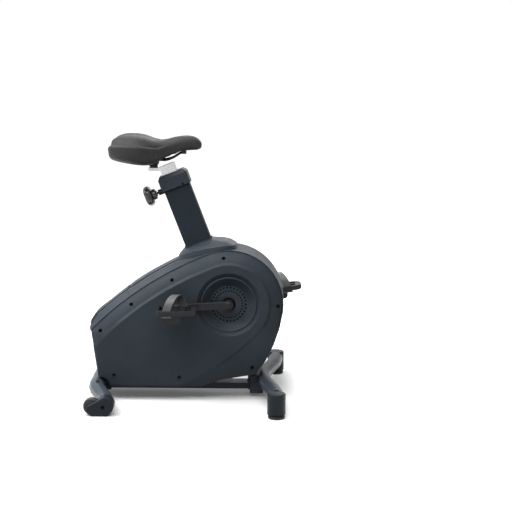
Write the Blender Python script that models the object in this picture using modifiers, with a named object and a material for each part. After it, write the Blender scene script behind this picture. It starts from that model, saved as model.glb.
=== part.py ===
"""Desk exercise bike, in metres: +X to the front, +Y to the rider's left, +Z up.

The origin is on the floor, under the middle of the outer box. The rider faces +X.
"""

import math

import bmesh
import bpy
from mathutils import Matrix, Vector

# Clearances
SEAT_GAP = 0.0003
RUNNING_GAP = 0.0006
SIDES = (("left", 1), ("right", -1))

# Crank drive
CRANK_X = 0.1078
CRANK_Z = 0.3214
CRANK_LENGTH = 0.170
CRANK_ANGLE = 2.3
CRANK_ARM_INNER = 0.098
CRANK_ARM_THICK = 0.014
CRANK_HUB_R = 0.0165
CRANK_HUB_HALF = 0.0135
CRANK_EYE_HALF = 0.0098
AXLE_R = 0.010
BEARING_R = 0.021
BEARING_WIDTH = 0.012
HOUSING_WALL = 0.004
HOUSING_HALF = 0.034
PULLEY_R = 0.130
PULLEY_WIDTH = 0.014
BELT_Y = 0.0430
BELT_WIDTH = 0.012
BELT_THICK = 0.003
SMALL_PULLEY_R = 0.027
IDLER_R = 0.020
IDLER_PIN_R = 0.005
IDLER_X = 0.030
IDLER_Z = 0.168

# Flywheel and brake
FLYWHEEL_X = -0.130
FLYWHEEL_Y = -0.010
FLYWHEEL_Z = 0.190
FLYWHEEL_R = 0.115
FLYWHEEL_WIDTH = 0.026
FLYWHEEL_AXLE_R = 0.006
FLYWHEEL_BEARING_R = 0.0140
FLYWHEEL_BEARING_WIDTH = 0.009
FLYWHEEL_PLATE = 0.004
BRAKE_GAP = 0.003
BRAKE_ARM_THICK = 0.010
BRAKE_ARM_HALF_WIDTH = 0.013
BRAKE_PIVOT_X = -0.255
BRAKE_PIVOT_Z = 0.112
BRAKE_PIVOT_R = 0.005
BRAKE_ARC_START = 118.0
BRAKE_ARC_END = 214.0
SPOOL_R = 0.011
MOTOR_DEPTH = 0.040
MOTOR_WIDTH = 0.046
MOTOR_HEIGHT = 0.050
MOTOR_BOTTOM = 0.378

# Casing outline, seen from the side
DOME_R = 0.1785
DOME_START = -8.0
DOME_END = 111.0
TOP_R = 1.100
REAR_X = -0.343
REAR_CORNER_R = 0.012
REAR_EDGE_ANGLE = 188.5
REAR_FOOT = (-0.320, 0.078)
ARCH_CENTRE = (-0.318, 0.040)
ARCH_R = 0.038
CASING_BOTTOM = 0.046
BOTTOM_END_X = 0.016
BELLY = (0.075, 0.067)
CHIN = (0.198, 0.088)
FRONT_R = 0.450
CASING_WALL = 0.003
RIM_BEVEL = 0.004

# Casing across its width
BAND_HALF = 0.088
PANEL_HALF = 0.092
BAND_WIDTH = 0.0395
PANEL_SLOPE = 0.0085
SWOOSH_R = 0.870
SWOOSH_ANGLE = -44.0
CASING_SCREW_R = 0.0055
CASING_SCREWS = (
    (-0.311, 0.232), (-0.209, 0.320), (-0.076, 0.401), (0.091, 0.473),
    (0.267, 0.317), (-0.268, 0.083), (-0.054, 0.077), (0.184, 0.113),
)

# Top and front covers between the casing's sides
COVER_THICK = 0.003
COVER_SHOULDER = 0.062
COVER_RISE_REAR = 0.018
COVER_RISE_END = 0.007
COVER_RISE_BOOT = 0.0155
COVER_SEAM_X = -0.215
FRONT_SEAM_X = 0.086
BOOT_REAR_X = -0.036
BOOT_MIDDLE_X = 0.0365
BOOT_REACH_X = 0.0975
BOOT_REACH_Y = 0.0765
BOOT_TOP = 0.484
BOOT_TOP_ROOM = 0.0022

# Crank covers
COVER_RING_R = 0.100
COVER_RIM_R = 0.0906
COVER_DISC_R = 0.0636
COVER_DISC_Y = 0.0750
COVER_RING_HEIGHT = 0.0022
COVER_HOLE_R = 0.021
VENT_RINGS = ((0.0560, 0.0025), (0.0428, 0.0022))
VENTS_PER_RING = 16

# Mast, collar and seat post; the mast's own axes are n (forward), y and t (up along it)
MAST_FOOT = (0.180, 0.060)
MAST_ANGLE = 21.0
MAST_HALF_DEPTH = 0.0432
MAST_HALF_WIDTH = 0.030
MAST_WALL = 0.003
MAST_TOP = 0.724
MAST_BOTTOM_Z = 0.232
COLLAR_BOTTOM = MAST_TOP - 0.041
COLLAR_TOP = MAST_TOP + 0.009
COLLAR_WALL = 0.0065
COLLAR_CHAMFER = 0.012
GUIDE_BOTTOM = MAST_TOP - 0.124
POST_OFFSET = -0.006
POST_HALF_DEPTH = 0.026
POST_HALF_WIDTH = 0.0215
POST_WALL = 0.0025
POST_TOP = MAST_TOP + 0.038
POST_LENGTH = 0.400
POST_TRAVEL = 0.200
POST_HOLE_PITCH = 0.025
POST_GROOVE_WIDTH = 0.011
POST_GROOVE_DEPTH = 0.0016
SUPPORT_X = (0.005, 0.060)
SUPPORT_HALF_WIDTH = 0.027

# Adjusting pin and knob, on an axis square to the mast
PIN_HEIGHT = COLLAR_BOTTOM + 0.0015
PIN_R = 0.004
PIN_STEM_R = 0.0055
SLEEVE_R = 0.0105
SLEEVE_LENGTH = 0.021
NECK_R = 0.0085
KNOB_R = 0.030
KNOB_THICK = 0.020
KNOB_FACE_N = -0.109
KNOB_HUB_R = 0.015

# Saddle clamp, rails and saddle
STUB_BACK = 0.0469
STUB_R = 0.011
LUG_DROP = 0.0124
LUG_THICK = 0.010
LUG_REACH = 0.017
CLAMP_RISE = 0.0165
CLAMP_CORE_HALF = 0.013
CLAMP_CORE_R = 0.0125
CLAMP_JAW_R = 0.0158
CLAMP_JAW_THICK = 0.017
CLAMP_BOLT_R = 0.004
RAIL_RISE = 0.0098
RAIL_R = 0.0035
RAIL_HALF_GAP = 0.0215
SADDLE_BASE_THICK = 0.004

# Base
BEAM_TOP = CASING_BOTTOM
BEAM_BOTTOM = 0.026
BEAM_HALF_WIDTH = 0.030
BEAM_REAR_X = -0.286
BEAM_FRONT_X = 0.171
BEAM_WALL = 0.003
FLANGE_THICK = 0.005
BRACKET_HALF_WIDTH = 0.042
FRONT_BAR_R = 0.024
FRONT_BAR_MID_X = 0.221
FRONT_BAR_END_X = 0.264
FRONT_BAR_Z = 0.060
FOOT_Y = 0.290
FOOT_R = 0.029
FOOT_TOP = 0.0815
FOOT_BOTTOM = 0.013
PAD_R = 0.0265
PAD_HEIGHT = 0.010
PAD_STUD_R = 0.005
REAR_BAR_R = 0.025
REAR_BAR_MID_X = -0.325
REAR_BAR_MID_Z = 0.050
REAR_BAR_END_X = -0.279
REAR_BAR_END_Z = 0.0345
REAR_BAR_STRAIGHT = 0.090
CAP_INNER_Y = 0.246
CAP_OUTER_Y = 0.291
CAP_CENTRE = (-0.2765, 0.034)
CAP_R = 0.0285
CAP_LOBE = (-0.321, 0.0205)
CAP_LOBE_R = 0.0155
WHEEL_X = -0.3185
WHEEL_Z = 0.0295
WHEEL_R = 0.0272
WHEEL_WIDTH = 0.020
WHEEL_AXLE_R = 0.004
WHEEL_SLOT_Y = (0.2605, 0.2820)

# Power socket in the front cover
INLET_ANGLE = -30.0
INLET_Y = 0.035
INLET_R = 0.0075

# Pedals
PEDAL_SPAN_INNER = 0.1285
PEDAL_SPAN_OUTER = 0.2245
PEDAL_TOE = 0.073
PEDAL_HEEL = 0.057
PEDAL_TOP = 0.010
PEDAL_DECK = 0.016
PEDAL_TILT = {"left": 9.0, "right": 0.0}
SPINDLE_R = 0.0065
SPINDLE_COLLAR_R = 0.0095
STRAP_HEIGHT = 0.054
STRAP_WIDTH = 0.026
STRAP_THICK = 0.0022
STRAP_OUTER_X = -0.024
STRAP_INNER_X = 0.026
STRAP_INSET = 0.0055

# Colours, as linear values
NAVY_PAINT = (0.034, 0.045, 0.058)
NAVY_PLASTIC = (0.038, 0.050, 0.062)
BLACK = (0.012, 0.012, 0.013)
CHARCOAL = (0.045, 0.045, 0.046)
STEEL = (0.55, 0.56, 0.57)
SILVER = (0.72, 0.73, 0.74)
IRON = (0.10, 0.10, 0.11)

MAST_TILT = math.radians(MAST_ANGLE)
# The lug, the clamp and the saddle are placed from the post's top
STUB_X = MAST_FOOT[0] - POST_TOP * math.sin(MAST_TILT) - STUB_BACK
LUG_TOP_Z = MAST_FOOT[1] + POST_TOP * math.cos(MAST_TILT) - LUG_DROP
CLAMP_Z = LUG_TOP_Z + CLAMP_RISE
SADDLE_PLACE = Matrix.Translation((STUB_X, 0, CLAMP_Z))
CRANK = Vector((CRANK_X, 0, CRANK_Z))


def new_collection(name):
    found = bpy.data.collections.get(name)
    if found:
        bpy.data.collections.remove(found)
    made = bpy.data.collections.new(name)
    bpy.context.scene.collection.children.link(made)
    return made


for old in list(bpy.data.objects):
    bpy.data.objects.remove(old, do_unlink=True)
PARTS = new_collection("desk_exercise_bike")
CUTTERS = new_collection("cutters")
CUTTERS.hide_render = True


def add_object(name, data, place=Matrix.Identity(4)):
    made = bpy.data.objects.new(name, data)
    made.matrix_world = place
    PARTS.objects.link(made)
    return made


def finish(part, colour, roughness=0.5, metallic=0.0):
    """Gives a part its own material and smooth shading."""
    surface = bpy.data.materials.new(part.name)
    surface.use_nodes = True
    shader = surface.node_tree.nodes["Principled BSDF"]
    shader.inputs["Base Color"].default_value = (*colour, 1)
    shader.inputs["Roughness"].default_value = roughness
    shader.inputs["Metallic"].default_value = metallic
    part.data.materials.clear()
    part.data.materials.append(surface)
    if part.type == "MESH":
        part.data.shade_smooth()
        part.data.set_sharp_from_angle(angle=math.radians(35))
    return part


def mesh_object(name, bm, place):
    bmesh.ops.recalc_face_normals(bm, faces=bm.faces)
    mesh = bpy.data.meshes.new(name)
    bm.to_mesh(mesh)
    bm.free()
    return add_object(name, mesh, place)


def facing(axis, centre):
    """A placement whose local Z runs along the axis."""
    turn = Vector(axis).to_track_quat("Z", "Y").to_matrix().to_4x4()
    return Matrix.Translation(centre) @ turn


def block(name, low, high, place=Matrix.Identity(4)):
    """A box between two corners, in the frame that place gives."""
    low, high = Vector(low), Vector(high)
    middle = (low + high) / 2
    bm = bmesh.new()
    bmesh.ops.create_cube(bm, size=1)
    bmesh.ops.scale(bm, vec=high - low, verts=bm.verts)
    bmesh.ops.translate(bm, vec=middle, verts=bm.verts)
    return mesh_object(name, bm, place)


def cylinder(name, radius, low, high, centre, axis=(0, 1, 0), sides=24, end_radius=None):
    """A cylinder or cone from low to high along its axis, measured from the centre."""
    bm = bmesh.new()
    bmesh.ops.create_cone(
        bm,
        cap_ends=True,
        segments=sides,
        radius1=radius,
        radius2=radius if end_radius is None else end_radius,
        depth=high - low,
    )
    bmesh.ops.translate(bm, vec=(0, 0, (low + high) / 2), verts=bm.verts)
    return mesh_object(name, bm, facing(axis, centre))


def turned(name, profile, centre, axis=(0, 1, 0), sides=32, bored=False):
    """A turned piece. The profile gives (radius, height) down its outer side, top to bottom."""
    mesh = bpy.data.meshes.new(name)
    edges = [(i, i + 1) for i in range(len(profile) - 1)]
    if bored:
        edges.append((len(profile) - 1, 0))
    mesh.from_pydata([(radius, 0, height) for radius, height in profile], edges, [])
    made = add_object(name, mesh, facing(axis, centre))
    screw = made.modifiers.new("Turn", "SCREW")
    screw.steps = sides
    screw.render_steps = sides
    screw.use_merge_vertices = True
    screw.merge_threshold = 1e-6
    screw.use_smooth_shade = True
    return made


def as_mesh(curve):
    """Turns a curve object into a mesh object with its caps welded."""
    graph = bpy.context.evaluated_depsgraph_get()
    mesh = bpy.data.meshes.new_from_object(curve.evaluated_get(graph))
    name, place = curve.name, curve.matrix_world.copy()
    bpy.data.objects.remove(curve, do_unlink=True)
    bm = bmesh.new()
    bm.from_mesh(mesh)
    bpy.data.meshes.remove(mesh)
    bmesh.ops.remove_doubles(bm, verts=bm.verts, dist=1e-6)
    bmesh.ops.dissolve_degenerate(bm, edges=bm.edges, dist=1e-7)
    return mesh_object(name, bm, place)


PLANES = {
    "XZ": Matrix.Rotation(math.radians(90), 4, "X"),
    "XY": Matrix.Identity(4),
    "YZ": Matrix(((0, 0, 1, 0), (1, 0, 0, 0), (0, 1, 0, 0), (0, 0, 0, 1))),
}
PLANE_NORMALS = {"XZ": (0, 1, 0), "XY": (0, 0, 1), "YZ": (1, 0, 0)}


def extruded(name, outline, low, high, plane="XZ", place=Matrix.Identity(4)):
    """A flat outline, extruded from low to high along the plane's third axis."""
    curve = bpy.data.curves.new(name, "CURVE")
    curve.dimensions = "2D"
    curve.fill_mode = "BOTH"
    curve.extrude = (high - low) / 2
    spline = curve.splines.new("POLY")
    spline.points.add(len(outline) - 1)
    for point, (first, second) in zip(spline.points, outline):
        point.co = (first, second, 0, 1)
    spline.use_cyclic_u = True
    shift = Matrix.Translation(Vector(PLANE_NORMALS[plane]) * (low + high) / 2)
    made = add_object(name, curve, place @ shift @ PLANES[plane])
    bpy.context.view_layer.update()
    return as_mesh(made)


def bar(name, points, radius, sides, cyclic=False):
    """A round bar or tube outline along the points, made a mesh."""
    curve = bpy.data.curves.new(name, "CURVE")
    curve.dimensions = "3D"
    curve.bevel_depth = radius
    curve.bevel_resolution = (sides - 4) // 2
    curve.use_fill_caps = True
    spline = curve.splines.new("POLY")
    spline.points.add(len(points) - 1)
    for point, place in zip(spline.points, points):
        point.co = (*place, 1)
    spline.use_cyclic_u = cyclic
    made = add_object(name, curve)
    bpy.context.view_layer.update()
    return as_mesh(made)


def lofted(name, loops, place=Matrix.Identity(4)):
    """A closed skin through loops that have equally many points."""
    bm = bmesh.new()
    rows = [[bm.verts.new(point) for point in loop] for loop in loops]
    count = len(rows[0])
    for row, after in zip(rows, rows[1:]):
        for i in range(count):
            j = (i + 1) % count
            bm.faces.new((row[i], row[j], after[j], after[i]))
    bm.faces.new(list(reversed(rows[0])))
    bm.faces.new(rows[-1])
    return mesh_object(name, bm, place)


def combine(part, other, operation):
    modifier = part.modifiers.new(other.name, "BOOLEAN")
    modifier.operation = operation
    modifier.solver = "EXACT"
    modifier.object = other
    other.hide_render = True
    other.display_type = "WIRE"
    if other.name in PARTS.objects:
        PARTS.objects.unlink(other)
        CUTTERS.objects.link(other)
    return part


def cut(part, other):
    return combine(part, other, "DIFFERENCE")


def join(part, other):
    return combine(part, other, "UNION")


def keep(part, other):
    return combine(part, other, "INTERSECT")


def soften(part, width, segments=2, angle=40):
    """Rounds a part's edges that are sharper than the angle."""
    bevel = part.modifiers.new("Rounding", "BEVEL")
    bevel.width = width
    bevel.segments = segments
    bevel.limit_method = "ANGLE"
    bevel.angle_limit = math.radians(angle)
    bevel.use_clamp_overlap = True
    return part


def polar(centre, radius, degrees):
    turn = math.radians(degrees)
    return (centre[0] + radius * math.cos(turn), centre[1] + radius * math.sin(turn))


def arc(centre, radius, start, end, count):
    """count + 1 points along an arc, from start to end degrees."""
    return [polar(centre, radius, start + (end - start) * i / count) for i in range(count + 1)]


def filleted(corners, steps=2):
    """An outline whose corners, given as (x, z, radius), are rounded."""
    points = []
    for i, (x, z, radius) in enumerate(corners):
        here = Vector((x, z))
        if radius == 0:
            points.append((x, z))
            continue
        before = (Vector(corners[i - 1][:2]) - here).normalized()
        after = (Vector(corners[(i + 1) % len(corners)][:2]) - here).normalized()
        half = before.angle(after) / 2
        centre = here + (before + after).normalized() * radius / math.sin(half)
        first = here + before * radius / math.tan(half) - centre
        last = here + after * radius / math.tan(half) - centre
        turn = first.angle_signed(last)
        for step in range(steps + 1):
            spoke = first.copy()
            spoke.rotate(Matrix.Rotation(-turn * step / steps, 2))
            points.append(tuple(centre + spoke))
    return points


def inset(outline, distance):
    """The outline, which runs anticlockwise, moved inwards by the distance."""
    points = [Vector(point) for point in outline]
    moved = []
    for i, point in enumerate(points):
        before = (point - points[i - 1]).normalized()
        after = (points[(i + 1) % len(points)] - point).normalized()
        first = Vector((-before.y, before.x))
        second = Vector((-after.y, after.x))
        moved.append(tuple(point + distance * (first + second) / (1 + first.dot(second))))
    return moved


def rectangle(low, high, radius=0.0):
    corners = ((low[0], low[1]), (high[0], low[1]), (high[0], high[1]), (low[0], high[1]))
    return filleted([(x, y, radius) for x, y in corners])


def smooth(value):
    """Eases from 0 to 1."""
    value = min(max(value, 0), 1)
    return value * value * (3 - 2 * value)


# Centres of the arcs that make the casing's outline
CRANK_XZ = (CRANK_X, CRANK_Z)
TOP_CENTRE = polar(CRANK_XZ, DOME_R - TOP_R, DOME_END)
FRONT_CENTRE = polar(CRANK_XZ, DOME_R - FRONT_R, DOME_START)
TOP_END = math.degrees(math.acos((REAR_X + REAR_CORNER_R - TOP_CENTRE[0]) / (TOP_R - REAR_CORNER_R)))
REAR_CENTRE = polar(TOP_CENTRE, TOP_R - REAR_CORNER_R, TOP_END)
CHIN_ANGLE = -math.degrees(math.asin((FRONT_CENTRE[1] - CHIN[1]) / FRONT_R))


def casing_outline():
    """The side outline of the casing, anticlockwise from the chin at the front."""
    points = arc(FRONT_CENTRE, FRONT_R, CHIN_ANGLE, DOME_START, 3)[:-1]
    points += arc(CRANK_XZ, DOME_R, DOME_START, DOME_END, 13)[:-1]
    points += arc(TOP_CENTRE, TOP_R, DOME_END, TOP_END, 6)[:-1]
    points += arc(REAR_CENTRE, REAR_CORNER_R, TOP_END, REAR_EDGE_ANGLE, 3)
    points.append(REAR_FOOT)
    arch_end = math.degrees(math.asin((CASING_BOTTOM - ARCH_CENTRE[1]) / ARCH_R))
    points += arc(ARCH_CENTRE, ARCH_R, 88, arch_end, 4)
    points.append((BOTTOM_END_X, CASING_BOTTOM))
    points.append(BELLY)
    return points


def cover_rise(x):
    """How far the top covers' flat stands out of the sides' outline."""
    if x < REAR_CENTRE[0]:
        return COVER_RISE_REAR + (COVER_RISE_END - COVER_RISE_REAR) * (
            (REAR_CENTRE[0] - x) / REAR_CORNER_R
        )
    boot_rear = BOOT_REAR_X
    if x < boot_rear:
        share = (x - REAR_CENTRE[0]) / (boot_rear - REAR_CENTRE[0])
        return COVER_RISE_REAR + (COVER_RISE_BOOT - COVER_RISE_REAR) * share
    return COVER_RISE_BOOT * (1 - smooth((x - boot_rear) / (FRONT_SEAM_X - boot_rear)))


def ridge_stations():
    """(centre, radius, angle) along the casing's top and front, and the front seam's index."""
    stations = [(REAR_CENTRE, REAR_CORNER_R, angle) for angle in (181, 172, 161, 148)]
    seam = math.degrees(math.acos((COVER_SEAM_X - TOP_CENTRE[0]) / TOP_R))
    stop = math.degrees(math.acos((BOOT_REAR_X - TOP_CENTRE[0]) / TOP_R))
    steps = [TOP_END + (seam - TOP_END) * i / 4 for i in range(5)]
    steps += [seam + (stop - seam) * i / 5 for i in range(1, 6)]
    stations += [(TOP_CENTRE, TOP_R, angle) for angle in steps]
    stations += [(TOP_CENTRE, TOP_R, stop + (DOME_END - stop) * i / 3) for i in (1, 2, 3)]
    restart = math.degrees(math.acos((FRONT_SEAM_X - CRANK_X) / DOME_R))
    stations += [(CRANK_XZ, DOME_R, DOME_END + (restart - DOME_END) * i / 2) for i in (1, 2)]
    front_seam = len(stations) - 1
    stations += [
        (CRANK_XZ, DOME_R, restart + (DOME_START - restart) * i / 12) for i in range(1, 13)
    ]
    stations += [
        (FRONT_CENTRE, FRONT_R, DOME_START + (CHIN_ANGLE - DOME_START) * i / 4)
        for i in range(1, 5)
    ]
    return stations, front_seam


def ridge_row(station, stand_off=0.0):
    """Points across the ridge at one station, from the left edge to the right one."""
    centre, radius, angle = station
    rise = cover_rise(polar(centre, radius, angle)[0])
    edge = BAND_HALF - CASING_WALL - SEAT_GAP
    row = []
    for y, share in ((edge, 0), (COVER_SHOULDER, 1), (0, 1), (-COVER_SHOULDER, 1), (-edge, 0)):
        x, z = polar(centre, radius + rise * share + stand_off, angle)
        row.append((x, y, z))
    return row


def ridge_block(name, stand_off):
    """A solid under the ridge's surface, to seat the boot on."""
    stations, _ = ridge_stations()
    edge = BAND_HALF - CASING_WALL
    loops = []
    for y, share in (
        (0.12, 0), (edge, 0), (COVER_SHOULDER, 1), (-COVER_SHOULDER, 1), (-edge, 0), (-0.12, 0),
    ):
        loop = []
        for centre, radius, angle in stations:
            rise = cover_rise(polar(centre, radius, angle)[0]) * share
            x, z = polar(centre, radius + rise + stand_off, angle)
            loop.append((x, y, z))
        loops.append(loop)
    return lofted(name, loops)


def sheet(name, rows, thickness):
    """An open grid of points with Solidify inwards."""
    bm = bmesh.new()
    grid = [[bm.verts.new(point) for point in row] for row in rows]
    for row, after in zip(grid, grid[1:]):
        for i in range(len(row) - 1):
            bm.faces.new((row[i], row[i + 1], after[i + 1], after[i]))
    mesh = bpy.data.meshes.new(name)
    bm.normal_update()
    bm.to_mesh(mesh)
    bm.free()
    made = add_object(name, mesh)
    solid = made.modifiers.new("Thickness", "SOLIDIFY")
    solid.thickness = thickness
    solid.offset = -1
    solid.use_even_offset = True
    return made


def make_covers():
    """The rear, middle and front covers, each a bent sheet between the casing's sides."""
    stations, restart = ridge_stations()
    seam = 8
    rows = [ridge_row(station) for station in stations]
    after_seam = ridge_row(moved_station(stations[seam], -2 * SEAT_GAP))
    before_restart = ridge_row(moved_station(stations[restart], 2 * SEAT_GAP))
    rear = sheet("rear_top_cover", rows[: seam + 1], COVER_THICK)
    middle_rows = [after_seam] + rows[seam + 1 : restart] + [before_restart]
    middle = sheet("middle_top_cover", middle_rows, COVER_THICK)
    hole_depth = MAST_HALF_DEPTH + 0.006
    hole_width = MAST_HALF_WIDTH + 0.006
    cut(middle, mast_box("cover_mast_hole", hole_depth, hole_width, 0.3, 0.6, 0.008))
    front = sheet("front_cover", rows[restart:], COVER_THICK)
    for cover in (rear, middle, front):
        finish(cover, NAVY_PLASTIC, 0.45)
    make_inlet(front)


def moved_station(station, distance):
    centre, radius, angle = station
    return centre, radius, angle + math.degrees(distance / radius)


def make_inlet(cover):
    """The round power socket in the front cover."""
    x, z = polar(FRONT_CENTRE, FRONT_R, INLET_ANGLE)
    turn = math.radians(INLET_ANGLE)
    centre = Vector((x, INLET_Y, z))
    outward = (math.cos(turn), 0, math.sin(turn))
    cut(cover, cylinder("inlet_hole", INLET_R + SEAT_GAP, -0.02, 0.02, centre, outward, 20))
    socket_r = INLET_R * 0.5
    pin_r = INLET_R * 0.15
    socket = turned(
        "power_inlet",
        [
            (0, 0),
            (pin_r, 0),
            (pin_r, -0.009),
            (socket_r, -0.009),
            (socket_r, 0.0015),
            (INLET_R * 1.25, 0.0015),
            (INLET_R * 1.25, 0.0005),
            (INLET_R - SEAT_GAP, 0.0005),
            (INLET_R - SEAT_GAP, -0.012),
            (0, -0.012),
        ],
        centre,
        outward,
        12,
    )
    finish(socket, BLACK, 0.4)


def panel_outline():
    """The edge of the proud panel; past the casing's own edge at the rear and below."""
    inner = DOME_R - BAND_WIDTH
    swoosh_centre = polar(CRANK_XZ, inner - SWOOSH_R, SWOOSH_ANGLE)
    floor = CASING_BOTTOM - 0.020
    swoosh_low = -math.degrees(math.asin((swoosh_centre[1] - floor) / SWOOSH_R))
    points = arc(swoosh_centre, SWOOSH_R, swoosh_low, SWOOSH_ANGLE, 4)[:-1]
    points += arc(CRANK_XZ, inner, SWOOSH_ANGLE, DOME_END, 14)[:-1]
    points += arc(TOP_CENTRE, TOP_R - BAND_WIDTH, DOME_END, TOP_END + 5, 6)
    points.append((REAR_X - 0.030, floor))
    return points


def panel_block(name, side, level, outline, top):
    """The proud panel's form: straight up to the band, sloping to its level, then up to top."""
    narrow = inset(outline, PANEL_SLOPE)
    base = level - (PANEL_HALF - BAND_HALF)
    heights = [(base - 0.010, outline), (base, outline), (level, narrow)]
    if top > level:
        heights.append((top, narrow))
    return lofted(name, [[(x, side * y, z) for x, z in points] for y, points in heights])


def rounded_side(name, side, outline, low, high):
    """The side's solid from low out to high, with its outer rim rounded."""
    loops = [[(x, side * low, z) for x, z in outline]]
    for step in range(3):
        turn = math.radians(45 * step)
        points = inset(outline, RIM_BEVEL * (1 - math.cos(turn)))
        y = side * (high - RIM_BEVEL * (1 - math.sin(turn)))
        loops.append([(x, y, z) for x, z in points])
    return lofted(name, loops)


def make_side(name, side):
    """One half of the casing: a thin-walled moulding, open to the middle."""
    outline = casing_outline()
    panel = panel_outline()
    past_middle = -side * 0.012
    shell = rounded_side(name + "_casing", side, outline, SEAT_GAP / 2, BAND_HALF)
    proud_low = BAND_HALF - RIM_BEVEL * 0.88
    proud = rounded_side(name + "_proud", side, outline, proud_low, PANEL_HALF)
    top = PANEL_HALF + 0.005
    keep(proud, panel_block(name + "_panel_form", side, PANEL_HALF, panel, top))
    join(shell, proud)
    inner = inset(outline, CASING_WALL)
    ordered = sorted((past_middle * 1.2, side * (BAND_HALF - CASING_WALL)))
    cut(shell, extruded(name + "_hollow", hollow_outline(), ordered[0], ordered[1]))
    ordered = sorted((side * 0.060, side * (PANEL_HALF + 0.004)))
    relief = extruded(name + "_relief", inset(inner, 0.001), ordered[0], ordered[1])
    inner_panel = inset(panel, CASING_WALL)
    level = PANEL_HALF - CASING_WALL - SEAT_GAP
    relief_form = panel_block(name + "_relief_form", side, level, inner_panel, level)
    keep(relief, relief_form)
    cut(shell, relief)
    reach = BEAM_HALF_WIDTH - 0.0025
    cut(shell, block(name + "_beam_opening", (-0.281, -reach, 0.03), (0.066, reach, 0.075)))
    opening_r = COVER_RIM_R - 0.001
    cut(shell, cylinder(name + "_crank_opening", opening_r, 0.060, 0.110, CRANK, (0, side, 0), 36))
    for number, (x, z) in enumerate(CASING_SCREWS):
        hole_name = f"{name}_screw_hole_{number}"
        cut(shell, cylinder(hole_name, CASING_SCREW_R, 0.080, 0.100, (x, 0, z), (0, side, 0), 6))
    return finish(shell, NAVY_PLASTIC, 0.45)


def hollow_outline():
    """The casing's inside, run out past its rim where the covers lie between the sides."""
    inner = inset(casing_outline(), CASING_WALL)
    rear_corner = len(casing_outline()) - 9
    stations, _ = ridge_stations()
    front = moved_station(stations[-1], -2 * SEAT_GAP)
    rear = moved_station(stations[0], 2 * SEAT_GAP)
    points = [polar(front[0], front[1] - CASING_WALL, front[2])]
    points += [
        polar(centre, radius + 0.030, angle)
        for centre, radius, angle in [front] + list(reversed(stations)) + [rear]
    ]
    points.append(polar(rear[0], rear[1] - CASING_WALL, rear[2]))
    return points + inner[rear_corner:]


def make_crank_cover(name, side):
    """A dished round cover with two rings of vents round the crank's hole."""
    seat = PANEL_HALF + SEAT_GAP
    rim = seat + COVER_RING_HEIGHT
    disc = COVER_DISC_Y
    profile = [
        (COVER_HOLE_R, disc),
        (COVER_DISC_R, disc),
        (COVER_RIM_R, rim),
        (COVER_RING_R - 0.001, rim),
        (COVER_RING_R, rim - 0.001),
        (COVER_RING_R, seat),
        (COVER_RIM_R - 0.002, seat),
        (COVER_DISC_R, disc - 0.0025),
        (COVER_HOLE_R, disc - 0.0025),
    ]
    cover = turned(name + "_crank_cover", profile, CRANK, (0, side, 0), 28, bored=True)
    vents = None
    for ring, (ring_r, hole_r) in enumerate(VENT_RINGS):
        for number in range(VENTS_PER_RING):
            angle = 360 * (number + ring / 2) / VENTS_PER_RING
            x, z = polar(CRANK_XZ, ring_r, angle)
            vent = cylinder(
                f"{name}_vent_{ring}_{number}", hole_r, disc - 0.006, disc + 0.004,
                (x, 0, z), (0, side, 0), 4,
            )
            vents = gather(vents, vent)
    cut(cover, vents)
    return finish(cover, NAVY_PLASTIC, 0.45)


def gather(group, other):
    """Adds another mesh object's faces to the group, as one cutter of separate solids."""
    if group is None:
        return other
    bm = bmesh.new()
    bm.from_mesh(group.data)
    added = other.data.copy()
    added.transform(group.matrix_world.inverted() @ other.matrix_world)
    bm.from_mesh(added)
    bm.to_mesh(group.data)
    bm.free()
    bpy.data.meshes.remove(added)
    bpy.data.objects.remove(other, do_unlink=True)
    return group


# The mast's frame: X is n, forward and square to the mast, and Z is t, up along it
MAST = Matrix.Translation((MAST_FOOT[0], 0, MAST_FOOT[1])) @ Matrix.Rotation(-MAST_TILT, 4, "Y")


def mast_box(name, half_depth, half_width, low, high, radius=0.0, offset=0.0):
    outline = rectangle(
        (offset - half_depth, -half_width), (offset + half_depth, half_width), radius
    )
    return extruded(name, outline, low, high, "XY", MAST)


def make_mast():
    """The raked mast, a rectangular tube, with the crank's bearing housing through it."""
    low, high = 0.120, MAST_TOP
    mast = mast_box("seat_mast", MAST_HALF_DEPTH, MAST_HALF_WIDTH, low, high, 0.006)
    housing_r = BEARING_R + HOUSING_WALL
    hollow_depth = MAST_HALF_DEPTH - MAST_WALL
    hollow_width = MAST_HALF_WIDTH - MAST_WALL
    cut(mast, mast_box("mast_hollow", hollow_depth, hollow_width, low - 0.01, high + 0.01, 0.003))
    join(mast, cylinder("mast_housing", housing_r, -HOUSING_HALF, HOUSING_HALF, CRANK, sides=20))
    bore = BEARING_R + SEAT_GAP
    cut(mast, cylinder("mast_bore", bore, -0.06, 0.06, CRANK, sides=20))
    cut(mast, block("mast_foot_cut", (-0.2, -0.1, 0), (0.3, 0.1, MAST_BOTTOM_Z)))
    pin_low = MAST_HALF_DEPTH - 0.008
    pin_hole = SLEEVE_R * 0.66
    cut(mast, cylinder("mast_pin_hole", pin_hole, pin_low, 0.06, pin_point(), PIN_AXIS, 16))
    return finish(mast, NAVY_PAINT, 0.42, 0.2)


PIN_AXIS = -(MAST.to_3x3() @ Vector((1, 0, 0)))


def pin_point():
    """Where the adjusting pin's axis crosses the mast's own axis."""
    return MAST @ Vector((0, 0, PIN_HEIGHT))


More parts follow.
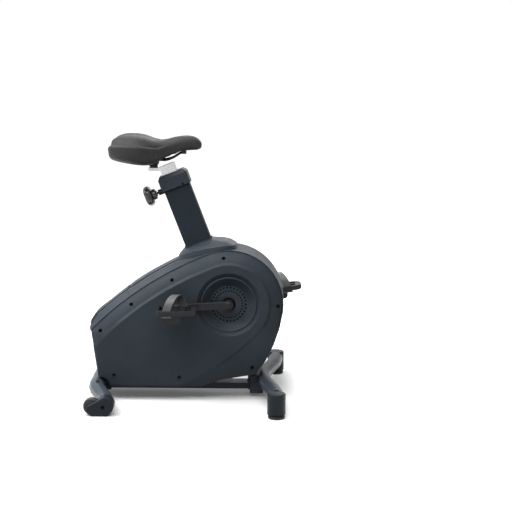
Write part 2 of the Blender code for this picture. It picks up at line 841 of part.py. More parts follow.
def make_collar():
    """The cap on the mast and the guide sleeve that runs down inside it."""
    depth = MAST_HALF_DEPTH + COLLAR_WALL
    width = MAST_HALF_WIDTH + COLLAR_WALL
    top = mast_box("mast_collar", depth, width, COLLAR_BOTTOM, COLLAR_TOP, 0.009)
    wedge = COLLAR_CHAMFER
    form = lofted(
        "collar_form",
        [
            [(x, y, COLLAR_BOTTOM - 0.01) for x, y in rectangle((-depth, -width), (depth, width))],
            [(x, y, COLLAR_TOP - wedge) for x, y in rectangle((-depth, -width), (depth, width))],
            [
                (x, y, COLLAR_TOP + 0.0001)
                for x, y in rectangle(
                    (wedge * 0.75 - depth, wedge * 0.75 - width),
                    (depth - wedge * 0.9, width - wedge * 0.75),
                )
            ],
        ],
        MAST,
    )
    keep(top, form)
    gap = SEAT_GAP
    inner = (MAST_HALF_DEPTH + gap, MAST_HALF_WIDTH + gap)
    cut(top, mast_box("collar_socket", *inner, COLLAR_BOTTOM - 0.01, MAST_TOP + gap, 0.006))
    mouth_depth = POST_HALF_DEPTH + gap
    mouth_width = POST_HALF_WIDTH + gap
    cut(
        top,
        mast_box(
            "collar_mouth", mouth_depth, mouth_width, MAST_TOP - 0.01, COLLAR_TOP + 0.01, 0.003,
            POST_OFFSET,
        ),
    )
    sleeve_hole = SLEEVE_R + 0.0010
    cut(top, cylinder("collar_sleeve_hole", sleeve_hole, 0.03, 0.07, pin_point(), PIN_AXIS, 16))
    finish(top, NAVY_PLASTIC, 0.45)
    guide_depth = MAST_HALF_DEPTH - MAST_WALL - gap
    guide_width = MAST_HALF_WIDTH - MAST_WALL - gap
    guide = mast_box("post_guide", guide_depth, guide_width, GUIDE_BOTTOM, MAST_TOP - 0.001, 0.0028)
    running = RUNNING_GAP
    cut(
        guide,
        mast_box(
            "guide_bore", POST_HALF_DEPTH + running, POST_HALF_WIDTH + running,
            GUIDE_BOTTOM - 0.01, MAST_TOP + 0.01, 0.003, POST_OFFSET,
        ),
    )
    cut(guide, cylinder("guide_pin_hole", PIN_R + 0.001, 0.02, 0.06, pin_point(), PIN_AXIS, 12))
    finish(guide, BLACK, 0.5)


def make_post():
    """The square seat post with its row of height holes, the lug and the saddle's stub."""
    bottom = POST_TOP - POST_LENGTH
    post = mast_box(
        "seat_post", POST_HALF_DEPTH, POST_HALF_WIDTH, bottom, POST_TOP, 0.0035, POST_OFFSET
    )
    inner_depth = POST_HALF_DEPTH - POST_WALL
    inner_width = POST_HALF_WIDTH - POST_WALL
    cut(
        post,
        mast_box(
            "post_hollow", inner_depth, inner_width, bottom - 0.01, POST_TOP - 0.003, 0.002,
            POST_OFFSET,
        ),
    )
    rear = POST_OFFSET - POST_HALF_DEPTH
    groove = block(
        "post_groove",
        (rear - 0.005, -POST_GROOVE_WIDTH / 2, bottom - 0.01),
        (rear + POST_GROOVE_DEPTH, POST_GROOVE_WIDTH / 2, PIN_HEIGHT + PIN_R + 0.004),
        MAST,
    )
    cut(post, groove)
    holes = None
    count = int(POST_TRAVEL / POST_HOLE_PITCH) + 1
    for number in range(count):
        centre = MAST @ Vector((0, 0, PIN_HEIGHT - number * POST_HOLE_PITCH))
        low = -POST_OFFSET + inner_depth - 0.003
        hole = cylinder(
            f"post_hole_{number}", PIN_R + 0.0005, low, low + 0.010, centre, PIN_AXIS, 6
        )
        holes = gather(holes, hole)
    cut(post, holes)
    lug = extruded(
        "post_lug",
        rectangle((STUB_X - LUG_REACH, -0.020), (STUB_X + 0.040, 0.020), 0.006),
        LUG_TOP_Z - LUG_THICK,
        LUG_TOP_Z,
        "XY",
    )
    cut(lug, mast_box("lug_trim", inner_depth, inner_width, 0.5, 0.9, 0.002, POST_OFFSET))
    join(post, lug)
    stub_top = stub_height() - LUG_TOP_Z
    stub = cylinder("post_stub", STUB_R, -0.004, stub_top, (STUB_X, 0, LUG_TOP_Z), (0, 0, 1), 20)
    join(post, stub)
    return finish(post, SILVER, 0.28, 0.9)


def make_knob():
    """The pull knob, its pin, the hexagonal sleeve on the mast and the spring inside it."""
    centre = pin_point()
    face = -KNOB_FACE_N
    mast_face = MAST_HALF_DEPTH
    sleeve_end = mast_face + SLEEVE_LENGTH
    flange = 0.0015
    sleeve = turned(
        "pin_sleeve",
        [
            (PIN_R + 0.0008, sleeve_end),
            (SLEEVE_R, sleeve_end),
            (SLEEVE_R, mast_face + SEAT_GAP),
            (SLEEVE_R * 0.60, mast_face + SEAT_GAP),
            (SLEEVE_R * 0.60, mast_face - MAST_WALL),
            (PIN_R + 0.0008, mast_face - MAST_WALL),
            (PIN_R + 0.0008, mast_face + 0.001),
            (PIN_STEM_R + 0.0016, mast_face + 0.001),
            (PIN_STEM_R + 0.0016, sleeve_end - 0.003),
            (PIN_R + 0.0008, sleeve_end - 0.003),
        ],
        centre,
        PIN_AXIS,
        6,
        bored=True,
    )
    finish(sleeve, STEEL, 0.4, 0.8)
    post_rear = POST_HALF_DEPTH - POST_OFFSET
    nose = post_rear - POST_GROOVE_DEPTH + SEAT_GAP
    flange_start = mast_face + 0.001 + SEAT_GAP
    flange_end = flange_start + flange
    pin = turned(
        "adjusting_pin",
        [
            (0, face - KNOB_THICK * 0.4),
            (PIN_R, face - KNOB_THICK * 0.4),
            (PIN_R, flange_end),
            (PIN_STEM_R, flange_end),
            (PIN_STEM_R, flange_start),
            (PIN_R, flange_start),
            (PIN_R, nose + 0.001),
            (PIN_R - 0.001, nose),
            (0, nose),
        ],
        centre,
        PIN_AXIS,
        12,
    )
    finish(pin, STEEL, 0.35, 0.9)
    spring_low = flange_end + SEAT_GAP
    spring_high = sleeve_end - 0.003 - SEAT_GAP
    make_spring("pin_spring", PIN_STEM_R - 0.0003, 0.0005, spring_low, spring_high, 5)
    back = face - KNOB_THICK
    neck_start = sleeve_end + RUNNING_GAP
    knob = turned(
        "adjusting_knob",
        [
            (0, face - 0.0035),
            (KNOB_R * 0.70, face),
            (KNOB_R * 0.88, face - 0.0015),
            (KNOB_R, face - 0.0065),
            (KNOB_R, face - 0.012),
            (KNOB_R * 0.86, back),
            (KNOB_HUB_R, back - 0.001),
            (KNOB_HUB_R * 0.93, back - 0.009),
            (NECK_R, back - 0.0095),
            (NECK_R, neck_start),
            (PIN_R + SEAT_GAP, neck_start),
            (PIN_R + SEAT_GAP, face - KNOB_THICK * 0.4 + SEAT_GAP),
            (0, face - KNOB_THICK * 0.4 + SEAT_GAP),
        ],
        centre,
        PIN_AXIS,
        18,
    )
    finish(knob, BLACK, 0.35)


def make_spring(name, radius, wire_r, low, high, turns):
    """A compression spring on the adjusting pin, one unbroken wire."""
    place = facing(PIN_AXIS, pin_point())
    steps = 6 * turns
    points = []
    for i in range(steps + 1):
        share = i / steps
        turn = 2 * math.pi * turns * share
        along = low + wire_r + (high - low - 2 * wire_r) * share
        points.append(place @ Vector((radius * math.cos(turn), radius * math.sin(turn), along)))
    spring = bar(name, points, wire_r, 4)
    return finish(spring, STEEL, 0.35, 0.9)


def make_boot():
    """The moulded boot that closes the casing round the mast."""
    sides = 24
    top_depth = MAST_HALF_DEPTH + COVER_THICK + BOOT_TOP_ROOM
    top_width = MAST_HALF_WIDTH + COVER_THICK + BOOT_TOP_ROOM
    levels = ((1.00, 0.0, 0.0), (0.985, 0.012, 0.0), (0.90, 0.020, 0.12), (0.80, 0.024, 0.30))
    rim = [boot_point(i, sides, 1.0) for i in range(sides)]
    top = []
    for i in range(sides):
        turn = 2 * math.pi * i / sides
        c, s = math.cos(turn), math.sin(turn)
        n = top_depth * math.copysign(abs(c) ** 0.28, c)
        y = top_width * math.copysign(abs(s) ** 0.28, s)
        top.append(MAST @ Vector((n, y, BOOT_TOP)))
    loops = []
    for spread, height, lift in levels:
        loop = []
        for i in range(sides):
            x, y = boot_point(i, sides, spread)
            base = ridge_height(x) + height
            loop.append(Vector((x, y, base)).lerp(top[i], lift))
        loops.append(loop)
    low_loop = [Vector((x, y, ridge_height(x) - 0.045)) for x, y in rim]
    collar_loop = [MAST.to_3x3() @ Vector((0, 0, 0.004)) + point for point in top]
    outer = [low_loop] + loops + [top, collar_loop]
    rows = [loop + [loop[0]] for loop in outer]
    boot = sheet_closed("mast_boot", rows, COVER_THICK)
    cut(boot, ridge_block("boot_seat", SEAT_GAP * 2.5))
    hole_depth = MAST_HALF_DEPTH + SEAT_GAP
    hole_width = MAST_HALF_WIDTH + SEAT_GAP
    cut(boot, mast_box("boot_hole", hole_depth, hole_width, BOOT_TOP - 0.15, BOOT_TOP + 0.03))
    return finish(boot, NAVY_PLASTIC, 0.42)


def boot_point(i, sides, spread):
    turn = 2 * math.pi * i / sides
    c, s = math.cos(turn), math.sin(turn)
    power = 0.62
    x = BOOT_MIDDLE_X + spread * BOOT_REACH_X * math.copysign(abs(c) ** power, c)
    y = spread * BOOT_REACH_Y * math.copysign(abs(s) ** power, s)
    return x, y


def ridge_height(x):
    """Height of the covers' flat above the floor at x."""
    rise = cover_rise(x)
    if x < polar(CRANK_XZ, DOME_R, DOME_END)[0]:
        centre, radius = TOP_CENTRE, TOP_R + rise
    else:
        centre, radius = CRANK_XZ, DOME_R + rise
    return centre[1] + math.sqrt(radius**2 - (x - centre[0]) ** 2)


def sheet_closed(name, rows, thickness):
    """A tube of rows, each ending on its first point, with Solidify inwards."""
    made = sheet(name, rows, thickness)
    bm = bmesh.new()
    bm.from_mesh(made.data)
    bmesh.ops.remove_doubles(bm, verts=bm.verts, dist=1e-6)
    bmesh.ops.recalc_face_normals(bm, faces=bm.faces)
    bm.to_mesh(made.data)
    bm.free()
    return made


def make_base_frame():
    """The base beam with its end flanges, the support tube and the brake's ears, welded."""
    half = BEAM_HALF_WIDTH
    top = BEAM_TOP - SEAT_GAP
    frame = block("base_frame", (BEAM_REAR_X, -half, BEAM_BOTTOM), (BEAM_FRONT_X, half, top))
    wall = BEAM_WALL
    bottom = BEAM_BOTTOM
    hollow = block(
        "beam_hollow",
        (BEAM_REAR_X + 0.02, wall - half, bottom + wall),
        (BEAM_FRONT_X - 0.02, half - wall, top - wall),
    )
    drain = block(
        "beam_drain",
        (BEAM_REAR_X + 0.05, -0.008, bottom - 0.01), (BEAM_REAR_X + 0.09, 0.008, bottom + 0.01),
    )
    cut(frame, hollow)
    cut(frame, drain)
    flange = FLANGE_THICK
    join(frame, block(
        "front_flange",
        (BEAM_FRONT_X - 0.001, -0.040, bottom), (BEAM_FRONT_X + flange, 0.040, 0.071),
    ))
    join(frame, block(
        "rear_flange",
        (BEAM_REAR_X - flange, -0.034, 0.020), (BEAM_REAR_X + 0.001, 0.034, 0.0555),
    ))
    rear, front = SUPPORT_X
    support = block(
        "support_tube", (rear, -SUPPORT_HALF_WIDTH, top - 0.001), (front, SUPPORT_HALF_WIDTH, 0.45)
    )
    cut(support, block(
        "support_hollow",
        (rear + wall, wall - SUPPORT_HALF_WIDTH, top + 0.004),
        (front - wall, SUPPORT_HALF_WIDTH - wall, 0.5),
    ))
    trim = mast_box(
        "support_trim", MAST_HALF_DEPTH + SEAT_GAP + 0.1, 0.1, 0.1, 0.6, 0.0, 0.1
    )
    cut(support, trim)
    join(frame, support)
    idler = (IDLER_X, 0, IDLER_Z)
    shoulder = BELT_Y - PULLEY_WIDTH / 2 - RUNNING_GAP
    pin_end = BELT_Y + PULLEY_WIDTH / 2 + 0.002
    join(frame, cylinder(
        "idler_boss", IDLER_PIN_R + 0.005, SUPPORT_HALF_WIDTH - 0.002, shoulder, idler, sides=20
    ))
    join(frame, cylinder("idler_pin", IDLER_PIN_R, shoulder - 0.002, pin_end, idler, sides=16))
    ear_r = 0.011
    pivot = (BRAKE_PIVOT_X, BRAKE_PIVOT_Z)
    outline = arc(pivot, ear_r, -10, 190, 8)
    outline += [(BRAKE_PIVOT_X - 0.019, top - 0.001), (BRAKE_PIVOT_X + 0.019, top - 0.001)]
    for number, side in enumerate((-1, 1)):
        near = FLYWHEEL_Y + side * (BRAKE_ARM_HALF_WIDTH + RUNNING_GAP)
        far = near + side * 0.0035
        join(frame, extruded(f"brake_ear_{number}", outline, min(near, far), max(near, far)))
    pin_low = FLYWHEEL_Y - BRAKE_ARM_HALF_WIDTH - 0.006
    pin_high = FLYWHEEL_Y + BRAKE_ARM_HALF_WIDTH + 0.006
    join(frame, cylinder(
        "brake_pin", BRAKE_PIVOT_R, pin_low, pin_high, (pivot[0], 0, pivot[1]), sides=16
    ))
    return finish(frame, NAVY_PAINT, 0.42, 0.2)


def make_flywheel():
    """The flywheel with its small pulley, bearings and axle, and the bracket that holds them."""
    centre = Vector((FLYWHEEL_X, FLYWHEEL_Y, FLYWHEEL_Z))
    half = FLYWHEEL_WIDTH / 2
    hub = 0.022
    hub_half = half + 0.003
    seat = FLYWHEEL_BEARING_R + SEAT_GAP
    shoulder = seat - 0.003
    bearing_depth = FLYWHEEL_BEARING_WIDTH + SEAT_GAP
    flywheel = turned(
        "flywheel",
        [
            (hub, hub_half),
            (hub, half * 0.35),
            (FLYWHEEL_R * 0.78, half * 0.35),
            (FLYWHEEL_R * 0.80, half),
            (FLYWHEEL_R, half),
            (FLYWHEEL_R, -half),
            (FLYWHEEL_R * 0.80, -half),
            (FLYWHEEL_R * 0.78, -half * 0.35),
            (hub, -half * 0.35),
            (hub, -hub_half),
            (seat, -hub_half),
            (seat, bearing_depth - hub_half),
            (shoulder, bearing_depth - hub_half),
            (shoulder, hub_half - bearing_depth),
            (seat, hub_half - bearing_depth),
            (seat, hub_half),
        ],
        centre,
        sides=20,
        bored=True,
    )
    finish(flywheel, IRON, 0.35, 0.9)
    pulley_low = BELT_Y - PULLEY_WIDTH / 2 - centre.y
    pulley_high = BELT_Y + PULLEY_WIDTH / 2 - centre.y
    bore = FLYWHEEL_AXLE_R + RUNNING_GAP
    pulley = turned(
        "flywheel_pulley",
        [
            (SMALL_PULLEY_R, pulley_high),
            (SMALL_PULLEY_R, pulley_low + 0.0008),
            (SMALL_PULLEY_R + 0.002, pulley_low + 0.0008),
            (SMALL_PULLEY_R + 0.002, pulley_low),
            (0.018, pulley_low),
            (0.018, hub_half + SEAT_GAP),
            (bore, hub_half + SEAT_GAP),
            (bore, pulley_high),
        ],
        centre,
        sides=16,
        bored=True,
    )
    finish(pulley, STEEL, 0.4, 0.8)
    for name, side in SIDES:
        middle = side * (hub_half - FLYWHEEL_BEARING_WIDTH / 2)
        ring = turned(
            f"flywheel_bearing_{name}",
            bearing_profile(
                FLYWHEEL_AXLE_R + SEAT_GAP, FLYWHEEL_BEARING_R, FLYWHEEL_BEARING_WIDTH, middle
            ),
            centre,
            sides=14,
            bored=True,
        )
        finish(ring, STEEL, 0.3, 0.9)
    plate = FLYWHEEL_PLATE
    right_low = -hub_half - 0.0008 - plate
    left_high = pulley_high + 0.0012 + plate
    axle = cylinder(
        "flywheel_axle", FLYWHEEL_AXLE_R, right_low - 0.004, left_high + 0.004, centre, sides=24
    )
    finish(axle, STEEL, 0.35, 0.9)
    make_flywheel_bracket(centre, plate, right_low, left_high)


def make_flywheel_bracket(centre, plate, right_low, left_high):
    """Two upright plates on a foot that stands on the base beam."""
    foot_low = BEAM_TOP + 0.0037
    foot_high = foot_low + 0.005
    outline = arc((centre.x, centre.z), 0.019, -20, 200, 10)
    outline += [(centre.x - 0.036, foot_low), (centre.x + 0.036, foot_low)]
    bracket = block(
        "flywheel_bracket",
        (centre.x - 0.036, centre.y + right_low, foot_low),
        (centre.x + 0.036, centre.y + left_high, foot_high),
    )
    for number, (low, high) in enumerate(
        ((right_low, right_low + plate), (left_high - plate, left_high))
    ):
        plate_solid = extruded(
            f"flywheel_plate_{number}", outline, centre.y + low, centre.y + high
        )
        join(bracket, plate_solid)
    pedestal = BEAM_HALF_WIDTH - 0.0035
    join(bracket, block(
        "bracket_pedestal",
        (centre.x - 0.030, -pedestal, BEAM_TOP),
        (centre.x + 0.030, pedestal, foot_low + 0.001),
    ))
    hole = FLYWHEEL_AXLE_R + SEAT_GAP
    cut(bracket, cylinder("bracket_axle_hole", hole, -0.2, 0.2, centre, sides=24))
    return finish(bracket, NAVY_PAINT, 0.45, 0.2)


def bearing_profile(inner, outer, width, middle):
    """A sealed bearing: a flat outer ring, dished to its bore on both faces."""
    half = width / 2
    land = outer - (outer - inner) * 0.22
    recess = 0.0006
    return [
        (outer, middle + half),
        (outer, middle - half),
        (land, middle - half),
        (inner, middle - half + recess),
        (inner, middle + half - recess),
        (land, middle + half),
    ]


def make_crankset():
    """The axle with its bearings, the drive pulley and the two cranks."""
    reach = CRANK_ARM_INNER + CRANK_ARM_THICK - 0.0015
    axle = cylinder("crank_axle", AXLE_R, -reach, reach, CRANK, sides=18)
    finish(axle, STEEL, 0.35, 0.9)
    for name, side in SIDES:
        middle = side * (HOUSING_HALF - BEARING_WIDTH / 2)
        ring = turned(
            f"crank_bearing_{name}",
            bearing_profile(AXLE_R + SEAT_GAP, BEARING_R, BEARING_WIDTH, middle),
            CRANK,
            sides=14,
            bored=True,
        )
        finish(ring, STEEL, 0.3, 0.9)
        make_crank(name, side, CRANK_ANGLE if side > 0 else 180 + CRANK_ANGLE)
    make_pulley()


def make_crank(name, side, degrees):
    eye = polar(CRANK_XZ, CRANK_LENGTH, degrees)
    hub_arc = arc(CRANK_XZ, CRANK_HUB_HALF, degrees + 95, degrees + 265, 7)
    eye_arc = arc(eye, CRANK_EYE_HALF, degrees - 85, degrees + 85, 7)
    outer = CRANK_ARM_INNER + CRANK_ARM_THICK
    ordered = sorted((side * CRANK_ARM_INNER, side * outer))
    crank = extruded(f"crank_{name}", hub_arc + eye_arc, *ordered)
    soften(crank, 0.0016, 1)
    hub = cylinder(
        f"crank_{name}_hub", CRANK_HUB_R, COVER_DISC_Y - 0.008, CRANK_ARM_INNER + 0.004, CRANK,
        (0, side, 0), 18,
    )
    join(crank, hub)
    bore = AXLE_R + SEAT_GAP
    cut(crank, cylinder(f"crank_{name}_bore", bore, 0.05, 0.13, CRANK, (0, side, 0), 18))
    hole = SPINDLE_R + SEAT_GAP
    eye_centre = (eye[0], 0, eye[1])
    cut(crank, cylinder(f"crank_{name}_eye", hole, 0.05, 0.13, eye_centre, (0, side, 0), 12))
    finish(crank, CHARCOAL, 0.4, 0.4)
    make_pedal(name, side, Vector(eye_centre))


def make_pulley():
    """The drive pulley: a flanged rim, a thin web with round windows and a hub."""
    half = PULLEY_WIDTH / 2
    hub_r = 0.022
    bore = AXLE_R + SEAT_GAP
    inner = HOUSING_HALF + 0.001 - BELT_Y
    pulley = turned(
        "drive_pulley",
        [
            (hub_r, half + 0.001),
            (hub_r, 0.002),
            (PULLEY_R * 0.90, 0.002),
            (PULLEY_R * 0.90, half),
            (PULLEY_R, half),
            (PULLEY_R, 0.0007 - half),
            (PULLEY_R + 0.0025, 0.0007 - half),
            (PULLEY_R + 0.0025, -half),
            (PULLEY_R * 0.90, -half),
            (PULLEY_R * 0.90, -0.002),
            (hub_r, -0.002),
            (hub_r, inner),
            (bore, inner),
            (bore, half + 0.001),
        ],
        Vector((CRANK_X, BELT_Y, CRANK_Z)),
        sides=24,
        bored=True,
    )
    windows = None
    for number in range(5):
        x, z = polar(CRANK_XZ, PULLEY_R * 0.54, 72 * number + 30)
        window = cylinder(f"pulley_window_{number}", 0.022, 0.03, 0.07, (x, 0, z), sides=8)
        windows = gather(windows, window)
    cut(pulley, windows)
    return finish(pulley, BLACK, 0.5)


def belt_loop(spread):
    """The belt's path round the pulleys, with the idler pressing on its back."""
    base = 0.0007
    wheels = (
        (CRANK_XZ, PULLEY_R + base + spread, 1),
        ((FLYWHEEL_X, FLYWHEEL_Z), SMALL_PULLEY_R + base + spread, 1),
        ((IDLER_X, IDLER_Z), IDLER_R + base + BELT_THICK - spread, -1),
    )
    angles = []
    for (first, r1, s1), (second, r2, s2) in zip(wheels, wheels[1:] + wheels[:1]):
        run = Vector(second) - Vector(first)
        lean = math.acos((s1 * r1 - s2 * r2) / run.length)
        angles.append(math.atan2(run.y, run.x) - lean)
    points = []
    for i, (centre, radius, sense) in enumerate(wheels):
        start, end = angles[i - 1], angles[i]
        if sense > 0:
            end = start + (end - start) % (2 * math.pi)
        else:
            end = start - (start - end) % (2 * math.pi)
        steps = max(2, round(abs(end - start) / math.radians(10)))
        for step in range(steps + 1):
            turn = start + (end - start) * step / steps
            points.append((
                centre[0] + sense * radius * math.cos(turn),
                centre[1] + sense * radius * math.sin(turn),
            ))
    return points


def make_belt():
    low, high = BELT_Y - BELT_WIDTH / 2, BELT_Y + BELT_WIDTH / 2
    belt = extruded("drive_belt", belt_loop(BELT_THICK), low, high)
    cut(belt, extruded("belt_inside", belt_loop(0.0), low - 0.01, high + 0.01))
    finish(belt, BLACK, 0.7)
    idler_centre = Vector((IDLER_X, BELT_Y, IDLER_Z))
    half = PULLEY_WIDTH / 2
    bore = IDLER_PIN_R + RUNNING_GAP
    idler = turned(
        "idler_wheel",
        [
            (IDLER_R, half - 0.001),
            (IDLER_R, 0.001 - half),
            (IDLER_R - 0.001, -half),
            (bore, -half),
            (bore, half),
            (IDLER_R - 0.001, half),
        ],
        idler_centre,
        sides=16,
        bored=True,
    )
    finish(idler, BLACK, 0.5)


def make_brake():
    """The magnetic brake: an arc of magnets on an arm, pulled by a geared motor's spool."""
    centre = (FLYWHEEL_X, FLYWHEEL_Z)
    pivot = (BRAKE_PIVOT_X, BRAKE_PIVOT_Z)
    inner_r = FLYWHEEL_R + BRAKE_GAP
    outer_r = inner_r + BRAKE_ARM_THICK
    start, end = BRAKE_ARC_START, BRAKE_ARC_END
    outline = arc(centre, outer_r, start, end - 14, 11)
    outline += arc(pivot, 0.010, 160, 340, 8)
    outline += list(reversed(arc(centre, inner_r, start, end - 8, 12)))
    half = BRAKE_ARM_HALF_WIDTH
    arm = extruded("brake_arm", outline, FLYWHEEL_Y - half, FLYWHEEL_Y + half)
    tip_r = inner_r + BRAKE_ARM_THICK / 2
    tip = polar(centre, tip_r, start + 2.5)
    cable_y = FLYWHEEL_Y - half - 0.006
    join(arm, cylinder(
        "arm_peg", 0.0028, cable_y - 0.003, FLYWHEEL_Y, (tip[0], 0, tip[1]), sides=12
    ))
    hole = BRAKE_PIVOT_R + RUNNING_GAP
    cut(arm, cylinder("arm_pivot_hole", hole, -0.1, 0.1, (pivot[0], 0, pivot[1]), sides=16))
    finish(arm, STEEL, 0.45, 0.7)
    rear_n = -(MAST_HALF_DEPTH + SEAT_GAP)
    motor = block(
        "brake_motor",
        (rear_n - MOTOR_DEPTH, -MOTOR_WIDTH / 2, MOTOR_BOTTOM),
        (rear_n, MOTOR_WIDTH / 2, MOTOR_BOTTOM + MOTOR_HEIGHT),
        MAST,
    )
    soften(motor, 0.002)
    spool_n = rear_n - MOTOR_DEPTH / 2
    spool_centre = MAST @ Vector((spool_n, 0, MOTOR_BOTTOM + MOTOR_HEIGHT / 2))
    face = -MOTOR_WIDTH / 2
    shaft_r = 0.003
    join(motor, cylinder("motor_shaft", shaft_r, face - 0.011, face + 0.002, spool_centre, sides=12))
    finish(motor, BLACK, 0.5)
    spool_half = 0.0045
    spool_y = face - RUNNING_GAP - spool_half
    spool = turned(
        "brake_spool",
        [
            (SPOOL_R, spool_half),
            (SPOOL_R, spool_half - 0.0012),
            (SPOOL_R - 0.002, spool_half - 0.0012),
            (SPOOL_R - 0.002, 0.0012 - spool_half),
            (SPOOL_R, 0.0012 - spool_half),
            (SPOOL_R, -spool_half),
            (shaft_r + SEAT_GAP, -spool_half),
            (shaft_r + SEAT_GAP, spool_half),
        ],
        spool_centre + Vector((0, spool_y, 0)),
        sides=12,
        bored=True,
    )
    finish(spool, BLACK, 0.5)
    wire_r = 0.0008
    groove = SPOOL_R - 0.002 + wire_r + SEAT_GAP
    start_point = Vector((spool_centre.x - groove * 0.8, spool_y, spool_centre.z + groove * 0.6))
    towards = Vector((tip[0], cable_y, tip[1] + 0.0028 + wire_r + SEAT_GAP))
    cable = bar("brake_cable", [start_point, start_point.lerp(towards, 0.5), towards], wire_r, 6)
    finish(cable, STEEL, 0.4, 0.8)


def smooth_path(points, steps):
    """A smooth curve through the points."""
    ends = [Vector(point) for point in (points[0], *points, points[-1])]
    made = []
    for p0, p1, p2, p3 in zip(ends, ends[1:], ends[2:], ends[3:]):
        for i in range(steps):
            t = i / steps
            straight = 2 * p1 + (p2 - p0) * t
            bend = (2 * p0 - 5 * p1 + 4 * p2 - p3) * t**2 + (3 * p1 - p0 - 3 * p2 + p3) * t**3
            made.append((straight + bend) / 2)
    made.append(ends[-1])
    return made


def bar_path(straight, reach, end, mid_xz, end_xz, count):
    """A crossbar's centre line from right to left: straight in the middle, swept to its ends."""
    heights = [reach * i / count for i in range(-count, count + 1)]
    points = []
    for y in [-end] + heights + [end]:
        share = smooth((abs(y) - straight) / (reach - straight))
        x = mid_xz[0] + (end_xz[0] - mid_xz[0]) * share
        z = mid_xz[1] + (end_xz[1] - mid_xz[1]) * share
        points.append((x, y, z))
    return points


def make_front():
    """The front crossbar, its bracket, its two upright feet and their levellers."""
    path = bar_path(
        0.0, FOOT_Y - FOOT_R + 0.001, FOOT_Y - 0.005,
        (FRONT_BAR_MID_X, FRONT_BAR_Z), (FRONT_BAR_END_X, FRONT_BAR_Z), 8,
    )
    crossbar = bar("front_crossbar", path, FRONT_BAR_R, 12)
    stud_hole = PAD_STUD_R + SEAT_GAP
    stud_top = FOOT_TOP - 0.020
    for name, side in SIDES:
        centre = Vector((FRONT_BAR_END_X, side * FOOT_Y, 0))
        end_cut = cylinder(
            f"bar_end_{name}", FOOT_R + SEAT_GAP, 0, FOOT_TOP + 0.02, centre, (0, 0, 1), 20
        )
        cut(crossbar, end_cut)
        foot = turned(
            f"front_foot_{name}",
            [
                (0, FOOT_TOP),
                (FOOT_R - 0.004, FOOT_TOP - 0.0005),
                (FOOT_R - 0.001, FOOT_TOP - 0.0020),
                (FOOT_R, FOOT_TOP - 0.0050),
                (FOOT_R, FOOT_BOTTOM),
                (stud_hole, FOOT_BOTTOM),
                (stud_hole, stud_top + SEAT_GAP),
                (0, stud_top + SEAT_GAP),
            ],
            centre,
            (0, 0, 1),
            20,
        )
        finish(foot, NAVY_PAINT, 0.4, 0.2)
        pad = turned(
            f"leveller_{name}",
            [
                (0, stud_top),
                (PAD_STUD_R, stud_top),
                (PAD_STUD_R, PAD_HEIGHT + 0.0010),
                (PAD_R - 0.002, PAD_HEIGHT),
                (PAD_R, PAD_HEIGHT - 0.002),
                (PAD_R, 0.0015),
                (PAD_R - 0.0015, 0),
                (0, 0),
            ],
            centre,
            (0, 0, 1),
            20,
        )
        finish(pad, BLACK, 0.7)
    finish(crossbar, NAVY_PAINT, 0.4, 0.2)
    bracket = block(
        "front_bracket",
        (BEAM_FRONT_X + FLANGE_THICK + SEAT_GAP, -BRACKET_HALF_WIDTH, 0.012),
        (FRONT_BAR_MID_X, BRACKET_HALF_WIDTH, 0.074),
    )
    soften(bracket, 0.004, 3)
    cut(bracket, bar("front_bar_form", path, FRONT_BAR_R + SEAT_GAP, 12))
    finish(bracket, NAVY_PAINT, 0.42, 0.2)


def make_rear():
    """The rear crossbar with its bracket, end caps and transport wheels."""
    end = CAP_INNER_Y - SEAT_GAP
    path = bar_path(
        REAR_BAR_STRAIGHT, end - 0.006, end,
        (REAR_BAR_MID_X, REAR_BAR_MID_Z), (REAR_BAR_END_X, REAR_BAR_END_Z), 9,
    )
    crossbar = bar("rear_crossbar", path, REAR_BAR_R, 12)
    finish(crossbar, NAVY_PAINT, 0.4, 0.2)
    bracket = block(
        "rear_bracket",
        (REAR_BAR_MID_X + 0.007, -0.034, 0.018),
        (BEAM_REAR_X - FLANGE_THICK - SEAT_GAP, 0.034, 0.0555),
    )
    soften(bracket, 0.003, 2)
    cut(bracket, bar("rear_bar_form", path, REAR_BAR_R + SEAT_GAP, 12))
    finish(bracket, NAVY_PAINT, 0.42, 0.2)
    for name, side in SIDES:
        make_rear_cap(name, side)


